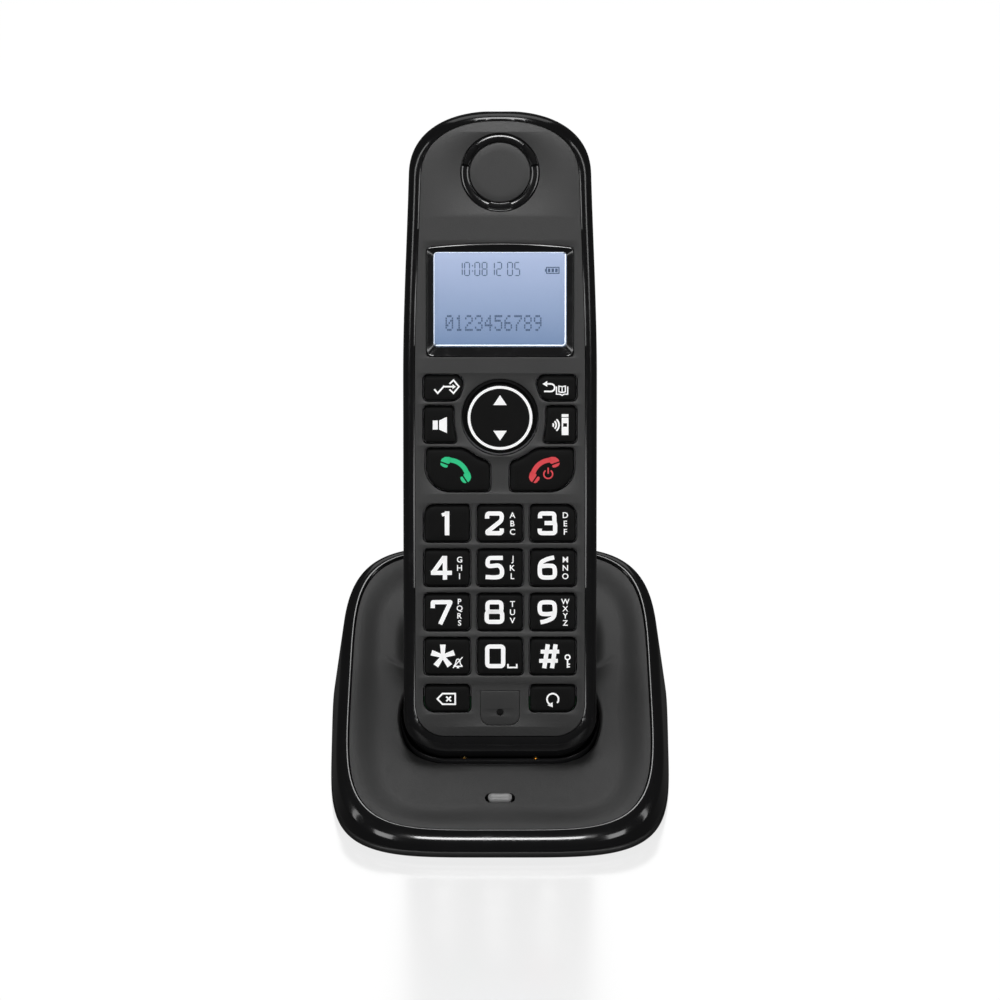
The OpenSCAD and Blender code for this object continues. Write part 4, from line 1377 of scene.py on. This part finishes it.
def make_stage():
    scene = bpy.context.scene
    scene.view_settings.view_transform = "Standard"
    world = bpy.data.worlds.new("studio")
    scene.world = world
    world.use_nodes = True
    back = world.node_tree.nodes["Background"]
    back.inputs["Color"].default_value = (1, 1, 1, 1)
    back.inputs["Strength"].default_value = 0.03
    floor = bpy.data.materials.new("pale floor")
    floor.use_nodes = True
    shader = floor.node_tree.nodes["Principled BSDF"]
    for key, value in (("Base Color", grey(0.05)), ("Roughness", 0.16), ("IOR", 3.0), ("Emission Color", grey(1)),
                       ("Emission Strength", 0.8)):
        shader.inputs[key].default_value = value
    mesh = mesh_from("floor", [(-6, -6, 0), (6, -6, 0), (6, 6, 0), (-6, 6, 0)], [(0, 1, 2, 3)], tidy=False)
    mesh.materials.append(floor)
    obj = linked("floor", mesh)
    obj.visible_glossy = False
    obj.visible_diffuse = False
    area_light("backdrop", (0, 1.6, 1.15), (0, 0, 0), (1.5, 0.9), 3)
    area_light("overhead", (0, 0.38, 0.95), (0, -0.045, 0.02), (0.3, 0.2), 1.5)
    area_light("top", (0, -1.15, 1.05), (0, 0, 0.12), (0.5, 0.3), 9)
    for side in (-1, 1):
        area_light("side", (0.85 * side, -0.15, 0.42), (0, 0, 0.07), (0.12, 0.75), 0.9)
        area_light("front", (0.6 * side, -0.85, 0.35), (0, 0, 0.05), (0.35, 0.55), 2.6)


ELEVATION = math.radians(36)
DISTANCE = 2.2
SCREEN_MIDDLE = 0.0659
PICTURE_WIDTH = 0.250


def make_camera():
    """Long lens, looking down at the front; the middle of the picture is SCREEN_MIDDLE above the handset's foot."""
    towards = Vector((0, -math.cos(ELEVATION), math.sin(ELEVATION)))
    up = Vector((0, math.sin(ELEVATION), math.cos(ELEVATION)))
    middle = HANDSET @ Vector((0, 80, 0))
    height = up.dot(HANDSET.translation) + SCREEN_MIDDLE
    target = up * height + towards * middle.dot(towards)
    data = bpy.data.cameras.new("camera")
    data.lens = data.sensor_width * DISTANCE / PICTURE_WIDTH
    obj = linked("camera", data)
    obj.location = target + towards * DISTANCE
    obj.rotation_euler = towards.to_track_quat("Z", "Y").to_euler()
    bpy.context.scene.camera = obj


# ---------------------------------------------------------------- finishes of the pieces kept from the CAD
def finish_cad_nodes():
    dark = plain("plain black plastic", "inner_plastic", (0.012, 0.012, 0.012), 0.5)
    felt = plain("black felt", "inner_plastic", (0.002, 0.002, 0.002), 0.9)
    steel = plain("zinc plated steel", "steel", (0.6, 0.6, 0.6), 0.32, metal=1.0)
    gold = plain("gold plated contact", "gold_contact", (0.85, 0.62, 0.25), 0.22, metal=1.0)
    board = plain("green solder mask", "circuit_board", (0.01, 0.09, 0.03), 0.35)
    film = plain("dome film", "dome_sheet", (0.2, 0.2, 0.21), 0.5)
    sleeve = plain("battery sleeve", "cell_sleeve", (0.03, 0.12, 0.3), 0.3)
    pale = plain("white light guide body", "backlight", (0.8, 0.84, 0.9), 0.4)
    worn = {"line_jack": dark, "power_jack": dark, "page_switch": dark, "microphone": felt, "battery_tray": dark,
            "earpiece_speaker": dark, "loudspeaker": dark, "base_screws": steel, "handset_screws": steel,
            "charge_springs": steel, "battery_contacts": steel, "charge_pin_left": gold, "charge_pin_right": gold,
            "handset_charge_pads": gold, "base_circuit_board": board, "handset_circuit_board": board,
            "key_dome_sheet": film, "battery_cells": sleeve, "display_backlight": pale}
    for node, made in worn.items():
        data = nodes[node].data
        data.materials.clear()
        data.materials.append(made.material)


# ---------------------------------------------------------------- assembly
def assemble():
    make_camera()
    make_stage()
    gloss = gloss_black()
    grained = grained_black()
    rubber = key_rubber()
    under = grained_black("satin black underside", "base_underside", 0.012, 0.00002)
    feet = plain("soft foot rubber", "rubber_foot", (0.02, 0.02, 0.02), 0.75)
    grey_key = plain("satin grey plastic", "grey_key", (0.27, 0.27, 0.27), 0.32)
    keys = [Key(name) for name in KEYS]
    make_back_shell(gloss)
    make_front_plate(grained, keys)
    make_tab(grained)
    make_display_frame(gloss)
    make_ear_ring(gloss)
    make_ear_disc(grained)
    make_battery_door(gloss)
    for key in keys:
        make_key(key, rubber)
    make_rocker(rubber)
    print_keys(keys)
    make_display()
    make_rim(gloss)
    make_bottom_shell(under)
    make_feet(feet)
    # The dish uses the front plate's grained plastic at half its tone: painted shade that darkens the whole dish.
    make_dish(grained_black("spark-grained dish", "textured_black", 0.009))
    make_pocket(gloss)
    make_page_key(grey_key)
    finish_cad_nodes()


assemble()
